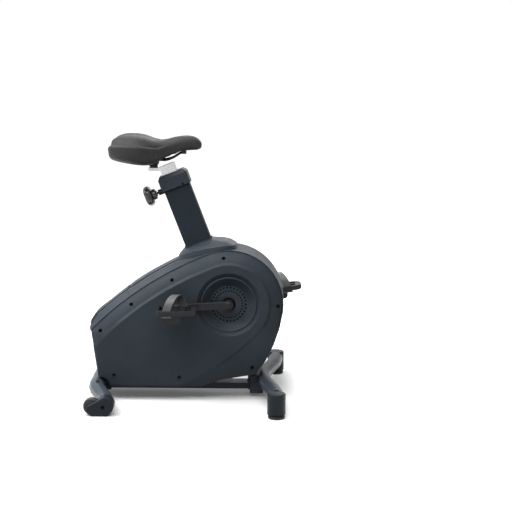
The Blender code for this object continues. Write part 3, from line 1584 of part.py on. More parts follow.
def make_rear_cap(name, side):
    """An end cap that stands on the floor, with a wheel in a slot of its lobe."""
    outline = arc(CAP_CENTRE, CAP_R, -50, 97, 10)
    outline += arc(CAP_LOBE, CAP_LOBE_R, 118, 236, 6)
    outline += [(CAP_LOBE[0] + 0.003, 0), (CAP_CENTRE[0] + 0.010, 0)]
    ordered = sorted((side * CAP_INNER_Y, side * CAP_OUTER_Y))
    cap = extruded(f"rear_end_cap_{name}", outline, *ordered)
    soften(cap, 0.0025, 1)
    wheel_centre = Vector((WHEEL_X, 0, WHEEL_Z))
    across = (0, side, 0)
    slot_low, slot_high = WHEEL_SLOT_Y
    slot_r = WHEEL_R + 0.002
    cut(cap, cylinder(f"wheel_slot_{name}", slot_r, slot_low, slot_high, wheel_centre, across, 20))
    join(cap, cylinder(
        f"wheel_axle_{name}", WHEEL_AXLE_R, slot_low - 0.004, slot_high + 0.004, wheel_centre,
        across, 14,
    ))
    finish(cap, BLACK, 0.45)
    half = WHEEL_WIDTH / 2
    hub = WHEEL_AXLE_R + 0.005
    bore = WHEEL_AXLE_R + RUNNING_GAP
    middle = side * (slot_low + slot_high) / 2
    wheel = turned(
        f"transport_wheel_{name}",
        [
            (bore, half),
            (hub, half),
            (hub, half - 0.003),
            (WHEEL_R * 0.76, half - 0.003),
            (WHEEL_R * 0.76, half),
            (WHEEL_R - 0.002, half),
            (WHEEL_R, half - 0.003),
            (WHEEL_R, 0.003 - half),
            (WHEEL_R - 0.002, -half),
            (bore, -half),
        ],
        wheel_centre + Vector((0, middle, 0)),
        across,
        18,
        bored=True,
    )
    finish(wheel, CHARCOAL, 0.5)


PEDAL_PROFILE = (
    (-0.0570, 0.006), (-0.0570, -0.001), (-0.0530, -0.0040), (-0.0440, -0.0050),
    (0.0630, -0.0060), (0.0700, -0.0050), (0.0730, -0.0010), (0.0730, 0.006),
    (0.0685, 0.0100), (-0.0530, 0.0100),
)
BLOCK_PROFILE = (
    (-0.0390, 0.000), (-0.0375, -0.022), (-0.0330, -0.0285), (-0.0260, -0.0310),
    (0.0110, -0.0310), (0.0180, -0.0285), (0.0220, -0.0220), (0.0245, 0.000),
)


def make_pedal(name, side, eye):
    """A pedal, its spindle and its strap. The pedal hangs level by its counterweight."""
    tilt = math.radians(PEDAL_TILT[name])
    place = Matrix.Translation(eye) @ Matrix.Rotation(-tilt, 4, "Y")
    inner, outer = PEDAL_SPAN_INNER, PEDAL_SPAN_OUTER
    ordered = sorted((side * inner, side * outer))
    body = extruded(f"pedal_{name}", PEDAL_PROFILE, *ordered, place=place)
    toe, heel = PEDAL_TOE, -PEDAL_HEEL
    plan = [
        (heel, inner, 0.010), (toe, inner, 0.020), (toe, outer, 0.045), (heel, outer, 0.010),
    ]
    outline = [(x, side * y) for x, y in filleted(plan, 4)]
    keep(body, extruded(f"pedal_{name}_plan", outline, -0.06, 0.06, "XY", place))
    soften(body, 0.0015, 1, 50)
    ordered = sorted((side * (inner + 0.010), side * (outer - 0.012)))
    weight = extruded(f"pedal_{name}_weight", BLOCK_PROFILE, *ordered, place=place)
    join(body, weight)
    openings = None
    windows = (
        (0.032, 0.052, inner + 0.012, inner + 0.042), (0.032, 0.052, inner + 0.050, outer - 0.018),
        (-0.0510, -0.0435, inner + 0.012, outer - 0.012),
    )
    half = STRAP_WIDTH / 2 + 0.0015
    thick = STRAP_THICK / 2 + 0.0008
    outer_slot, inner_slot = outer - STRAP_INSET, inner + STRAP_INSET
    slots = (
        (STRAP_OUTER_X - half, STRAP_OUTER_X + half, outer_slot - thick, outer_slot + thick),
        (STRAP_INNER_X - half, STRAP_INNER_X + half, inner_slot - thick, inner_slot + thick),
    )
    for number, (x0, x1, y0, y1) in enumerate(windows + slots):
        low, high = sorted((side * y0, side * y1))
        opening = block(f"pedal_{name}_opening_{number}", (x0, low, -0.05), (x1, high, 0.05), place)
        openings = gather(openings, opening)
    for number in range(3):
        x = -0.030 + number * 0.0200
        low, high = sorted((side * (inner + 0.012), side * (outer - 0.014)))
        groove = block(
            f"pedal_{name}_groove_{number}",
            (x, low, PEDAL_TOP - 0.0012), (x + 0.004, high, PEDAL_TOP + 0.01), place,
        )
        openings = gather(openings, groove)
    cut(body, openings)
    across = place.to_3x3() @ Vector((0, side, 0))
    bore = SPINDLE_R + RUNNING_GAP
    bore_end = outer - 0.0155
    cut(body, cylinder(f"pedal_{name}_bore", bore, inner - 0.01, bore_end, eye, across, 20))
    finish(body, BLACK, 0.55)
    start = CRANK_ARM_INNER + 0.0005
    collar_low = CRANK_ARM_INNER + CRANK_ARM_THICK + SEAT_GAP
    collar_high = inner - RUNNING_GAP
    spindle = turned(
        f"pedal_spindle_{name}",
        [
            (0, bore_end - 0.001),
            (SPINDLE_R - 0.001, bore_end - 0.001),
            (SPINDLE_R, bore_end - 0.002),
            (SPINDLE_R, collar_high),
            (SPINDLE_COLLAR_R, collar_high),
            (SPINDLE_COLLAR_R, collar_low),
            (SPINDLE_R, collar_low),
            (SPINDLE_R, start),
            (0, start),
        ],
        eye,
        (0, side, 0),
        12,
    )
    finish(spindle, STEEL, 0.35, 0.9)
    make_strap(name, side, place)


def make_strap(name, side, place):
    """A bent strap over the foot; its ends pass through the pedal and are thick below it."""
    outer = PEDAL_SPAN_OUTER - STRAP_INSET
    inner = PEDAL_SPAN_INNER + STRAP_INSET
    middle, half_span = (outer + inner) / 2, (outer - inner) / 2
    crown = STRAP_HEIGHT - STRAP_THICK / 2
    foot = -0.0080
    path = [(outer, foot, 0.0), (outer, PEDAL_TOP, 0.0)]
    for i in range(1, 14):
        turn = math.pi * i / 14
        c, s = math.cos(turn), math.sin(turn)
        y = middle + half_span * math.copysign(abs(c) ** 0.62, c)
        z = PEDAL_TOP + (crown - PEDAL_TOP) * s**0.85
        path.append((y, z, i / 14))
    path += [(inner, PEDAL_TOP, 1.0), (inner, foot, 1.0)]
    loops = []
    last = len(path) - 1
    for i, (y, z, share) in enumerate(path):
        before, after = path[max(i - 1, 0)], path[min(i + 1, last)]
        along = Vector((after[0] - before[0], after[1] - before[1])).normalized()
        normal = Vector((-along.y, along.x)) * STRAP_THICK / 2
        x = STRAP_OUTER_X + (STRAP_INNER_X - STRAP_OUTER_X) * share
        loop = []
        for dx, sense in ((-1, -1), (1, -1), (1, 1), (-1, 1)):
            point_y = y + sense * normal.x
            loop.append((x + dx * STRAP_WIDTH / 2, side * point_y, z + sense * normal.y))
        loops.append(loop)
    strap = lofted(f"pedal_strap_{name}", loops, place)
    deck_low = PEDAL_TOP - PEDAL_DECK - SEAT_GAP * 2
    for number, (x, y) in enumerate(((STRAP_OUTER_X, outer), (STRAP_INNER_X, inner))):
        low, high = sorted((side * (y - 0.003), side * (y + 0.003)))
        tab = block(
            f"strap_{name}_tab_{number}",
            (x - STRAP_WIDTH / 2 - 0.002, low, deck_low - 0.005),
            (x + STRAP_WIDTH / 2 + 0.002, high, deck_low), place,
        )
        join(strap, tab)
    return finish(strap, CHARCOAL, 0.5)


def stub_height():
    """Height of the stub's top, just under the clamp's bolt."""
    return CLAMP_Z - CLAMP_BOLT_R - 0.0025


def make_clamp():
    """The clamp's core on the stub, and the two jaws that its bolt draws on to the rails."""
    pivot = Vector((STUB_X, 0, CLAMP_Z))
    up = (0, 0, 1)
    half = CLAMP_CORE_HALF
    core = cylinder("clamp_core", CLAMP_CORE_R, -half, half, pivot, sides=16)
    sleeve_low = LUG_TOP_Z + SEAT_GAP - CLAMP_Z
    sleeve_r = STUB_R + 0.0019
    join(core, cylinder("core_sleeve", sleeve_r, sleeve_low, 0, pivot, up, 16))
    bore_top = stub_height() + SEAT_GAP - CLAMP_Z
    cut(core, cylinder("core_bore", STUB_R + SEAT_GAP, -0.03, bore_top, pivot, up, 16))
    cut(core, cylinder("core_bolt_hole", CLAMP_BOLT_R + SEAT_GAP, -0.03, 0.03, pivot, sides=16))
    finish(core, CHARCOAL, 0.45, 0.5)
    low = half + SEAT_GAP
    high = low + CLAMP_JAW_THICK
    radius = CLAMP_JAW_R
    profile = [
        (0, high), (radius - 0.0015, high), (radius, high - 0.0015),
        (radius, low + 0.001), (radius - 0.001, low), (0, low),
    ]
    clamp = turned("saddle_clamp", profile, pivot, (0, 1, 0), 14)
    join(clamp, turned("clamp_right_jaw", profile, pivot, (0, -1, 0), 14))
    reach = high + 0.0045
    join(clamp, cylinder("clamp_bolt", CLAMP_BOLT_R, -reach, reach, pivot, sides=12))
    hexagon = CLAMP_BOLT_R * 1.75
    join(clamp, cylinder("clamp_head", hexagon, -high - 0.004, -high + 0.001, pivot, sides=6))
    join(clamp, cylinder("clamp_nut", hexagon, high - 0.001, high + 0.0035, pivot, sides=6))
    rail_z = Vector((0, 0, RAIL_RISE))
    for name, side in SIDES:
        at = pivot + rail_z + Vector((0, side * RAIL_HALF_GAP, 0))
        hole = cylinder(f"rail_hole_{name}", RAIL_R + SEAT_GAP, -0.05, 0.05, at, (1, 0, 0), 10)
        cut(clamp, hole)
    finish(clamp, CHARCOAL, 0.4, 0.6)


def rail_path():
    """The rails' wire round the saddle, from the clamp's axis."""
    z = RAIL_RISE
    half = RAIL_HALF_GAP
    left = [
        (-0.1045, half + 0.0030, z + 0.0150), (-0.0800, half + 0.0025, z + 0.0070),
        (-0.0500, half, z), (-0.0280, half, z), (0.0280, half, z), (0.0420, half, z),
        (0.0660, half - 0.003, z + 0.0085), (0.0860, half - 0.008, z + 0.0215),
        (0.0980, 0.0070, z + 0.0265),
    ]
    right = [(x, -y, height) for x, y, height in reversed(left)]
    return [SADDLE_PLACE @ Vector(point) for point in smooth_path(left + right, 2)]


# Saddle, from the clamp's axis: x, half width, top and bottom of each section, rear to nose
SADDLE_SECTIONS = (
    (-0.145, 0.080, 0.0625, 0.0205), (-0.136, 0.106, 0.0825, 0.0085),
    (-0.108, 0.126, 0.0955, 0.0005), (-0.072, 0.132, 0.0965, -0.0065),
    (-0.04, 0.127, 0.0945, -0.0115), (-0.01, 0.106, 0.0855, -0.0135),
    (0.018, 0.074, 0.0735, -0.0015), (0.046, 0.051, 0.0745, 0.0195),
    (0.08, 0.039, 0.0865, 0.0325), (0.12, 0.032, 0.0925, 0.0385),
    (0.149, 0.026, 0.0815, 0.0415), (0.1605, 0.016, 0.0635, 0.0465),
)
# Half sections of the seat and the nose: shares of the half width and of the height, from the top
SEAT_HALF = (
    (0, 0.10), (0.42, 0.02), (0.74, 0.10), (0.87, 0.27), (0.985, 0.31), (1.00, 0.62),
    (0.90, 0.98), (0, 0.94),
)
NOSE_HALF = (
    (0, 0.02), (0.42, 0.00), (0.74, 0.06), (0.92, 0.20), (1.00, 0.42), (0.96, 0.66),
    (0.60, 1.00), (0, 1.00),
)
# The saddle's base plate, from the clamp's axis: x, half width, top
BASE_SECTIONS = (
    (-0.12, 0.040, 0.0385), (-0.09, 0.062, 0.0345), (-0.06, 0.066, 0.033),
    (-0.02, 0.056, 0.0315), (0.01, 0.046, 0.0315), (0.04, 0.032, 0.0355),
    (0.08, 0.022, 0.0435), (0.12, 0.018, 0.046), (0.144, 0.012, 0.047),
)


def saddle_ring(section):
    x, half, top, bottom = section
    share = smooth((x + 0.01) / 0.08)
    ring = []
    for (u0, v0), (u1, v1) in zip(SEAT_HALF, NOSE_HALF):
        u = u0 + (u1 - u0) * share
        v = v0 + (v1 - v0) * share
        ring.append((x, half * u, top + (bottom - top) * v))
    return ring + [(px, -py, pz) for px, py, pz in reversed(ring[1:-1])]


def base_block(name, spread, low=None):
    loops = []
    last = len(BASE_SECTIONS) - 1
    for number, (x, half, top) in enumerate(BASE_SECTIONS):
        height = top + spread
        floor = top - SADDLE_BASE_THICK if low is None else low
        width = half + spread
        if number == 0:
            x -= spread
        elif number == last:
            x += spread
        loops.append([(x, -width, floor), (x, width, floor), (x, width, height), (x, -width, height)])
    return lofted(name, loops, SADDLE_PLACE)


def make_saddle():
    """The cushion, the base plate in the pocket under it, and the rails in the plate's sockets."""
    rings = [saddle_ring(section) for section in SADDLE_SECTIONS]
    cushion = lofted("saddle_cushion", rings, SADDLE_PLACE)
    rounding = cushion.modifiers.new("Rounding", "SUBSURF")
    rounding.levels = 1
    rounding.render_levels = 1
    cut(cushion, base_block("saddle_pocket", SEAT_GAP, -0.05))
    finish(cushion, BLACK, 0.6)
    base = base_block("saddle_base", 0)
    path = rail_path()
    low, high = (0.090, -0.0165, RAIL_RISE + 0.0195), (0.106, 0.0165, 0.0435)
    nose = block("nose_socket", low, high, SADDLE_PLACE)
    join(base, nose)
    for name, side in SIDES:
        low, high = sorted((side * (RAIL_HALF_GAP - 0.004), side * (RAIL_HALF_GAP + 0.010)))
        corners = (-0.1110, low, RAIL_RISE + 0.0075), (-0.0950, high, 0.0340)
        socket = block(f"rear_socket_{name}", *corners, SADDLE_PLACE)
        join(base, socket)
    rail_form = bar("rail_form", path, RAIL_R + SEAT_GAP, 8)
    cut(base, rail_form)
    finish(base, BLACK, 0.5)
    rails = bar("saddle_rails", path, RAIL_R, 8)
    finish(rails, STEEL, 0.3, 0.9)


def carry(name, centre, children, parent=None):
    """Hangs pieces on an empty at their joint's axis, where they are."""
    axis = bpy.data.objects.new(name, None)
    axis.empty_display_size = 0.02
    axis.matrix_world = Matrix.Translation(centre)
    PARTS.objects.link(axis)
    if parent is not None:
        hang(axis, parent)
    for child in children:
        hang(bpy.data.objects[child], axis)
    return axis


def hang(child, parent):
    child.parent = parent
    child.matrix_parent_inverse = parent.matrix_world.inverted()


def make_axes():
    """One empty on the axis of each joint, which carries the pieces that move there."""
    crankset = ("crank_axle", "drive_pulley", "crank_left", "crank_right")
    spindles = ("pedal_spindle_left", "pedal_spindle_right")
    crank_axis = carry("crank_axis", CRANK, crankset + spindles)
    for name, side in SIDES:
        degrees = CRANK_ANGLE if side > 0 else 180 + CRANK_ANGLE
        x, z = polar(CRANK_XZ, CRANK_LENGTH, degrees)
        pieces = (f"pedal_{name}", f"pedal_strap_{name}")
        carry(f"pedal_{name}_axis", (x, 0, z), pieces, crank_axis)
    wheel = ("flywheel", "flywheel_pulley", "flywheel_bearing_left", "flywheel_bearing_right")
    carry("flywheel_axis", (FLYWHEEL_X, FLYWHEEL_Y, FLYWHEEL_Z), wheel)
    carry("brake_arm_axis", (BRAKE_PIVOT_X, FLYWHEEL_Y, BRAKE_PIVOT_Z), ("brake_arm",))
    post_axis = carry("seat_post_axis", MAST @ Vector((POST_OFFSET, 0, POST_TOP)), (
        "seat_post", "clamp_core",
    ))
    tilt_axis = carry("saddle_tilt_axis", (STUB_X, 0, CLAMP_Z), ("saddle_clamp",), post_axis)
    slide_pieces = ("saddle_rails", "saddle_base", "saddle_cushion")
    carry("saddle_slide_axis", (STUB_X, 0, CLAMP_Z + RAIL_RISE), slide_pieces, tilt_axis)
    carry("pin_axis", pin_point(), ("adjusting_pin", "adjusting_knob"))


make_mast()
make_collar()
make_post()
make_knob()
make_clamp()
make_saddle()
make_base_frame()
make_front()
make_rear()
make_flywheel()
make_brake()
make_belt()
make_crankset()
for side_name, side_sign in SIDES:
    make_side(side_name, side_sign)
    make_crank_cover(side_name, side_sign)
make_covers()
make_boot()
make_axes()
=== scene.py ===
import math

import bmesh
import bpy
from mathutils import Matrix, Vector, geometry


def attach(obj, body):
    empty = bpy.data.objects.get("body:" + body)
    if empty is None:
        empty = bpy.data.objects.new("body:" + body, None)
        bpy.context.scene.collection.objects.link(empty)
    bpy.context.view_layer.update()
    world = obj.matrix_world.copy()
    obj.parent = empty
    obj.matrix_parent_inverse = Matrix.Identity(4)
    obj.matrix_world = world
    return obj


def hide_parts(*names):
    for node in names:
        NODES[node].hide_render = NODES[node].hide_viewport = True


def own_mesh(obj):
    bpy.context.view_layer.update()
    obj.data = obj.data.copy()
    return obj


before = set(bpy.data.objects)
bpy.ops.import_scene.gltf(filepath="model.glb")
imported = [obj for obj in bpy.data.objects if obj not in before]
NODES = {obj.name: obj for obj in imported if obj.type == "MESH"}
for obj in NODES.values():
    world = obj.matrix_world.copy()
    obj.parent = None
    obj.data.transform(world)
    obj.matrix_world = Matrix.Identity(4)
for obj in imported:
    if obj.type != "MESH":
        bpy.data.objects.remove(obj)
for leftover in ("Cube", "Light", "Camera"):
    if leftover in bpy.data.objects:
        bpy.data.objects.remove(bpy.data.objects[leftover])
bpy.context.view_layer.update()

# Places of the CAD part, in metres
CRANK = Vector((0.1078, 0, 0.3214))
MAST_FOOT = Vector((0.180, 0, 0.060))
MAST_TILT = math.radians(21.0)
MAST = Matrix.Translation(MAST_FOOT) @ Matrix.Rotation(-MAST_TILT, 4, "Y")
PIN = MAST @ Vector((0, 0, 0.6845))
PIN_AXIS = -(MAST.to_3x3() @ Vector((1, 0, 0)))
SIDES = (("left", 1), ("right", -1))

NAVY = (0.034, 0.044, 0.056)
SKIN = (0.026, 0.026, 0.026)
BLACK = (0.012, 0.012, 0.013)
NOISE_SPAN = (0.3, 0.7)


class Shader:
    """A Principled material whose nodes are made by short calls."""

    def __init__(self, name, colour, roughness, metallic=0.0, **sockets):
        self.material = bpy.data.materials.new(name)
        self.material.use_nodes = True
        self.tree = self.material.node_tree
        self.principled = self.tree.nodes["Principled BSDF"]
        self.set("Base Color", (*colour, 1))
        self.set("Roughness", roughness)
        self.set("Metallic", metallic)
        for socket, value in sockets.items():
            self.set(socket.replace("_", " "), value)
        self.material.diffuse_color = (*colour, 1)
        self.coordinates = self.node("ShaderNodeTexCoord").outputs["Object"]

    def set(self, socket, value):
        self.principled.inputs[socket].default_value = value

    def node(self, kind, **inputs):
        made = self.tree.nodes.new(kind)
        for name, value in inputs.items():
            made.inputs[name.replace("_", " ")].default_value = value
        return made

    def link(self, output, target):
        self.tree.links.new(output, target)

    def scaled(self, scale):
        """The object's coordinates stretched by scale, three numbers."""
        mapping = self.node("ShaderNodeMapping", Scale=scale)
        self.link(self.coordinates, mapping.inputs["Vector"])
        return mapping.outputs["Vector"]

    def noise(self, scale, detail=2.0, stretch=None):
        noise = self.node("ShaderNodeTexNoise", Scale=scale, Detail=detail)
        vector = self.scaled(stretch) if stretch else self.coordinates
        self.link(vector, noise.inputs["Vector"])
        return noise.outputs["Fac"]

    def cells(self, scale):
        cells = self.node("ShaderNodeTexVoronoi", Scale=scale)
        self.link(self.coordinates, cells.inputs["Vector"])
        return cells.outputs["Distance"]

    def tint(self, value, first, second):
        """Base colour from first to second as value crosses NOISE_SPAN."""
        ramp = self.node("ShaderNodeValToRGB")
        for stop, place, colour in zip(ramp.color_ramp.elements, NOISE_SPAN, (first, second)):
            stop.position = place
            stop.color = (*colour, 1)
        self.link(value, ramp.inputs["Fac"])
        self.link(ramp.outputs["Color"], self.principled.inputs["Base Color"])

    def rough(self, value, low, high):
        """Roughness from low to high as value crosses NOISE_SPAN."""
        start, end = NOISE_SPAN
        spread = self.node("ShaderNodeMapRange", From_Min=start, From_Max=end, To_Min=low, To_Max=high)
        self.link(value, spread.inputs["Value"])
        self.link(spread.outputs["Result"], self.principled.inputs["Roughness"])

    def bump(self, value, strength, distance, under=None):
        bump = self.node("ShaderNodeBump", Strength=strength, Distance=distance)
        self.link(value, bump.inputs["Height"])
        if under is not None:
            self.link(under, bump.inputs["Normal"])
        self.link(bump.outputs["Normal"], self.principled.inputs["Normal"])
        return bump.outputs["Normal"]


DULL = {"Specular_IOR_Level": 0.14}


def shade(colour, factor):
    return tuple(min(1.0, c * factor) for c in colour)


def moulded(name, colour, roughness=0.45, grain=1400, depth=0.00012, **sockets):
    """Moulded plastic with a fine spark-eroded grain and faint unevenness."""
    made = Shader(name, colour, roughness, **sockets)
    made.tint(made.noise(9, 3), shade(colour, 0.90), shade(colour, 1.10))
    made.rough(made.noise(34, 4), roughness - 0.05, roughness + 0.06)
    made.bump(made.noise(grain, 2), 0.35, depth)
    return made.material


def leather(name, colour, roughness):
    """Stretched vinyl with a fine pebbled grain."""
    made = Shader(name, colour, roughness, Specular_IOR_Level=0.22)
    made.tint(made.noise(18, 4), shade(colour, 0.88), shade(colour, 1.12))
    made.rough(made.noise(45, 3), roughness - 0.06, roughness + 0.06)
    fine = made.bump(made.cells(900), 0.25, 0.00012)
    made.bump(made.noise(160, 3), 0.12, 0.00025, fine)
    return made.material


def painted(name, colour, roughness=0.36, level=0.14):
    """Powder-coated steel with its orange peel."""
    made = Shader(name, colour, roughness, Specular_IOR_Level=level)
    made.tint(made.noise(14, 3), shade(colour, 0.93), shade(colour, 1.08))
    made.rough(made.noise(60, 3), roughness - 0.05, roughness + 0.07)
    made.bump(made.noise(620, 2), 0.22, 0.00010)
    return made.material


def steel(name, colour, roughness, stretch, strength=0.1):
    """Bare metal with the marks of its turning or drawing."""
    made = Shader(name, colour, roughness, 1.0)
    made.tint(made.noise(25, 3), shade(colour, 0.93), shade(colour, 1.04))
    made.rough(made.noise(300, 3, stretch), roughness - 0.05, roughness + 0.08)
    made.bump(made.noise(900, 2, stretch), strength, 0.00003)
    return made.material


def rubber(name, colour, roughness=0.75):
    made = Shader(name, colour, roughness)
    made.tint(made.noise(30, 4), shade(colour, 0.85), shade(colour, 1.30))
    made.rough(made.noise(90, 3), roughness - 0.08, roughness + 0.06)
    made.bump(made.noise(900, 3), 0.4, 0.00015)
    return made.material


LOOKS = {
    "skin": leather("saddle_vinyl", SKIN, 0.52),
    # Near-black: the screws' own black, and painted shade where it fills their cups and the covers' seam
    # strips.
    "screw": moulded("screw_black_and_painted_shade", (0.003, 0.003, 0.003), 0.6, 900, 0.00008, Specular_IOR_Level=0.05),
    # Near-black for the sheet behind the crank cover's vents: painted shade of the casing's inside.
    "vent_shade": moulded("vent_painted_shade", (0.002, 0.002, 0.002), 0.9, 900, 0.00004, Specular_IOR_Level=0.0),
    "casing": moulded("casing_plastic", shade(NAVY, 0.88), 0.50, 1500, 0.00010, **DULL),
    "cover": moulded("cover_plastic", shade(NAVY, 0.95), 0.48, 1300, 0.00011, Specular_IOR_Level=0.22),
    "dome": moulded("dome_plastic", shade(NAVY, 0.80), 0.50, 1300, 0.00011, **DULL),
    "foot": moulded("foot_plastic", shade(NAVY, 0.48), 0.40, 1400, 0.00010, **DULL),
    "dish": moulded("dish_plastic", shade(NAVY, 0.84), 0.42, 1500, 0.00008, **DULL),
    "paint": painted("navy_powder_coat", shade(NAVY, 0.92)),
    # The rear crossbar wears the frame's navy powder coat made lighter: a painted highlight, on top of
    # its higher gloss.
    "bar": painted("bar_powder_coat_painted_highlight", shade(NAVY, 1.35), 0.34, 0.34),
    "mast": painted("mast_powder_coat", shade(NAVY, 0.84), 0.5, 0.02),
    "collar": moulded("collar_plastic", shade(NAVY, 0.85), 0.42, 1400, 0.00010, **DULL),
    "black": moulded("black_plastic", BLACK, 0.42, 1100, 0.00014, Specular_IOR_Level=0.22),
    "satin": moulded("satin_black_plastic", shade(BLACK, 1.7), 0.28, 1600, 0.00006),
    "hard": moulded("hard_black_plastic", shade(BLACK, 1.8), 0.42, 1100, 0.00010),
    "rubber": rubber("black_rubber", shade(BLACK, 1.3)),
    "alloy": painted("black_alloy", (0.018, 0.018, 0.019), 0.36),
    "steel": steel("zinc_plated_steel", (0.58, 0.59, 0.60), 0.32, (1, 30, 1)),
    "chrome": steel("polished_post", (0.50, 0.50, 0.51), 0.26, (6, 6, 0.6), 0.06),
    "iron": steel("turned_iron", (0.16, 0.16, 0.17), 0.42, (1, 24, 1), 0.15),
    "strap": moulded("strap_plastic", (0.085, 0.085, 0.086), 0.50, 1200, 0.00010),
}
FINISHES = {
    "casing": ("left_casing", "right_casing"),
    "cover": ("rear_top_cover", "middle_top_cover", "mast_boot"),
    "dome": ("front_cover",),
    "foot": ("rear_end_cap_left", "rear_end_cap_right", "front_foot_left", "front_foot_right"),
    "dish": ("left_crank_cover", "right_crank_cover"),
    "paint": ("base_frame", "front_crossbar", "front_bracket", "rear_bracket"),
    "bar": ("rear_crossbar",),
    "mast": ("seat_mast",),
    "collar": ("mast_collar",),
    "black": (
        "post_guide", "saddle_base", "pedal_left", "pedal_right", "power_inlet", "idler_wheel",
        "drive_pulley", "brake_motor", "brake_spool",
    ),
    "satin": ("adjusting_knob",),
    "hard": ("transport_wheel_left", "transport_wheel_right"),
    "rubber": ("drive_belt", "leveller_left", "leveller_right"),
    "alloy": (
        "crank_left", "crank_right", "crank_axle", "crank_bearing_left", "crank_bearing_right",
        "clamp_core", "saddle_clamp", "saddle_rails", "pin_sleeve", "adjusting_pin",
    ),
    "steel": (
        "pin_spring", "pedal_spindle_left", "pedal_spindle_right", "flywheel_axle",
        "flywheel_bearing_left", "flywheel_bearing_right", "flywheel_pulley", "flywheel_bracket",
        "brake_arm", "brake_cable",
    ),
    "chrome": ("seat_post",),
    "iron": ("flywheel",),
    "strap": ("pedal_strap_left", "pedal_strap_right"),
}


def put(obj, material):
    obj.data.materials.clear()
    obj.data.materials.append(material)
    obj.data.polygons.foreach_set("material_index", [0] * len(obj.data.polygons))


def smooth_group(name, degrees):
    """A node group that shades faces smooth and keeps edges steeper than this sharp."""
    group = bpy.data.node_groups.new(name, "GeometryNodeTree")
    group.interface.new_socket("Geometry", in_out="INPUT", socket_type="NodeSocketGeometry")
    group.interface.new_socket("Geometry", in_out="OUTPUT", socket_type="NodeSocketGeometry")
    nodes, links = group.nodes, group.links
    start = nodes.new("NodeGroupInput")
    end = nodes.new("NodeGroupOutput")
    faces = nodes.new("GeometryNodeSetShadeSmooth")
    faces.domain = "FACE"
    edges = nodes.new("GeometryNodeSetShadeSmooth")
    edges.domain = "EDGE"
    edges.inputs["Shade Smooth"].default_value = False
    angle = nodes.new("GeometryNodeInputMeshEdgeAngle")
    steep = nodes.new("FunctionNodeCompare")
    steep.data_type = "FLOAT"
    steep.operation = "GREATER_THAN"
    steep.inputs[1].default_value = math.radians(degrees)
    links.new(start.outputs[0], faces.inputs["Geometry"])
    links.new(faces.outputs["Geometry"], edges.inputs["Geometry"])
    links.new(angle.outputs["Unsigned Angle"], steep.inputs[0])
    links.new(steep.outputs["Result"], edges.inputs["Selection"])
    links.new(edges.outputs["Geometry"], end.inputs[0])
    return group


SMOOTH = {degrees: smooth_group(f"smooth_{degrees}", degrees) for degrees in (18, 24, 30, 38, 50, 65)}
WELD = 1e-6
FLAT = math.radians(0.6)


def shaded(obj, smooth):
    """Shades the faces smooth and keeps edges steeper than smooth, in degrees, sharp."""
    obj.modifiers.new("Smoothing", "NODES").node_group = SMOOTH[smooth]


def refine(obj, width, angle, smooth, flats=True):
    """Welds, merges flat faces, bevels edges steeper than angle and shades the rest smooth."""
    weld = obj.modifiers.new("Weld", "WELD")
    weld.merge_threshold = WELD
    if flats:
        flat = obj.modifiers.new("Flats", "DECIMATE")
        flat.decimate_type = "DISSOLVE"
        flat.angle_limit = FLAT
    if width:
        bevel = obj.modifiers.new("Edges", "BEVEL")
        bevel.limit_method = "ANGLE"
        bevel.angle_limit = math.radians(angle)
        bevel.width = width
        bevel.segments = 2
        bevel.use_clamp_overlap = True
        bevel.miter_outer = "MITER_ARC"
    shaded(obj, smooth)
    normals = obj.modifiers.new("Normals", "WEIGHTED_NORMAL")
    normals.keep_sharp = True


# Bevel width, bevel angle and smoothing angle of the CAD nodes
USUAL_EDGES = (0.0005, 30, 38)
EDGES = {
    "left_casing": (0, 30, 50), "right_casing": (0, 30, 50),
    "left_crank_cover": (0, 30, 38), "right_crank_cover": (0, 30, 38),
    "mast_boot": (0.0012, 24, 30), "seat_mast": (0, 30, 65),
    "front_crossbar": (0, 30, 50), "rear_crossbar": (0, 30, 50),
    "saddle_rails": (0, 30, 50), "pin_spring": (0, 30, 65), "brake_cable": (0, 30, 65),
    "front_foot_left": (0.0010, 40, 38), "front_foot_right": (0.0010, 40, 38),
}
for look, names in FINISHES.items():
    for name in names:
        put(NODES[name], LOOKS[look])
for name, node in NODES.items():
    refine(node, *EDGES.get(name, USUAL_EDGES))


# Tools for the pieces that stand for CAD nodes or are added to them


def clamp(value):
    return max(0.0, min(1.0, value))


def relief(rows, value, base=0.0):
    """base with a bell-shaped swell added for each row of centre, width and height."""
    swells = (height * math.exp(-(((value - centre) / width) ** 2)) for centre, width, height in rows)
    return sum(swells, base)


def settled(obj):
    """Makes the object's modifiers part of its mesh."""
    bpy.context.view_layer.update()
    graph = bpy.context.evaluated_depsgraph_get()
    mesh = bpy.data.meshes.new_from_object(obj.evaluated_get(graph))
    obj.modifiers.clear()
    obj.data = mesh


def linked(name, data):
    obj = bpy.data.objects.new(name, data)
    bpy.context.scene.collection.objects.link(obj)
    return obj


def solid(name, bm):
    """A new object from bmesh faces."""
    bmesh.ops.recalc_face_normals(bm, faces=bm.faces)
    mesh = bpy.data.meshes.new(name)
    bm.to_mesh(mesh)
    bm.free()
    return linked(name, mesh)


def piece(name, bm, look, body):
    """A new object from bmesh faces, with its look, riding on a body."""
    obj = solid(name, bm)
    put(obj, LOOKS[look])
    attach(obj, body)
    return obj


def facing(direction, origin):
    """A frame at origin whose Z points along direction."""
    turn = Vector(direction).normalized().to_track_quat("Z", "Y").to_matrix().to_4x4()
    return Matrix.Translation(origin) @ turn


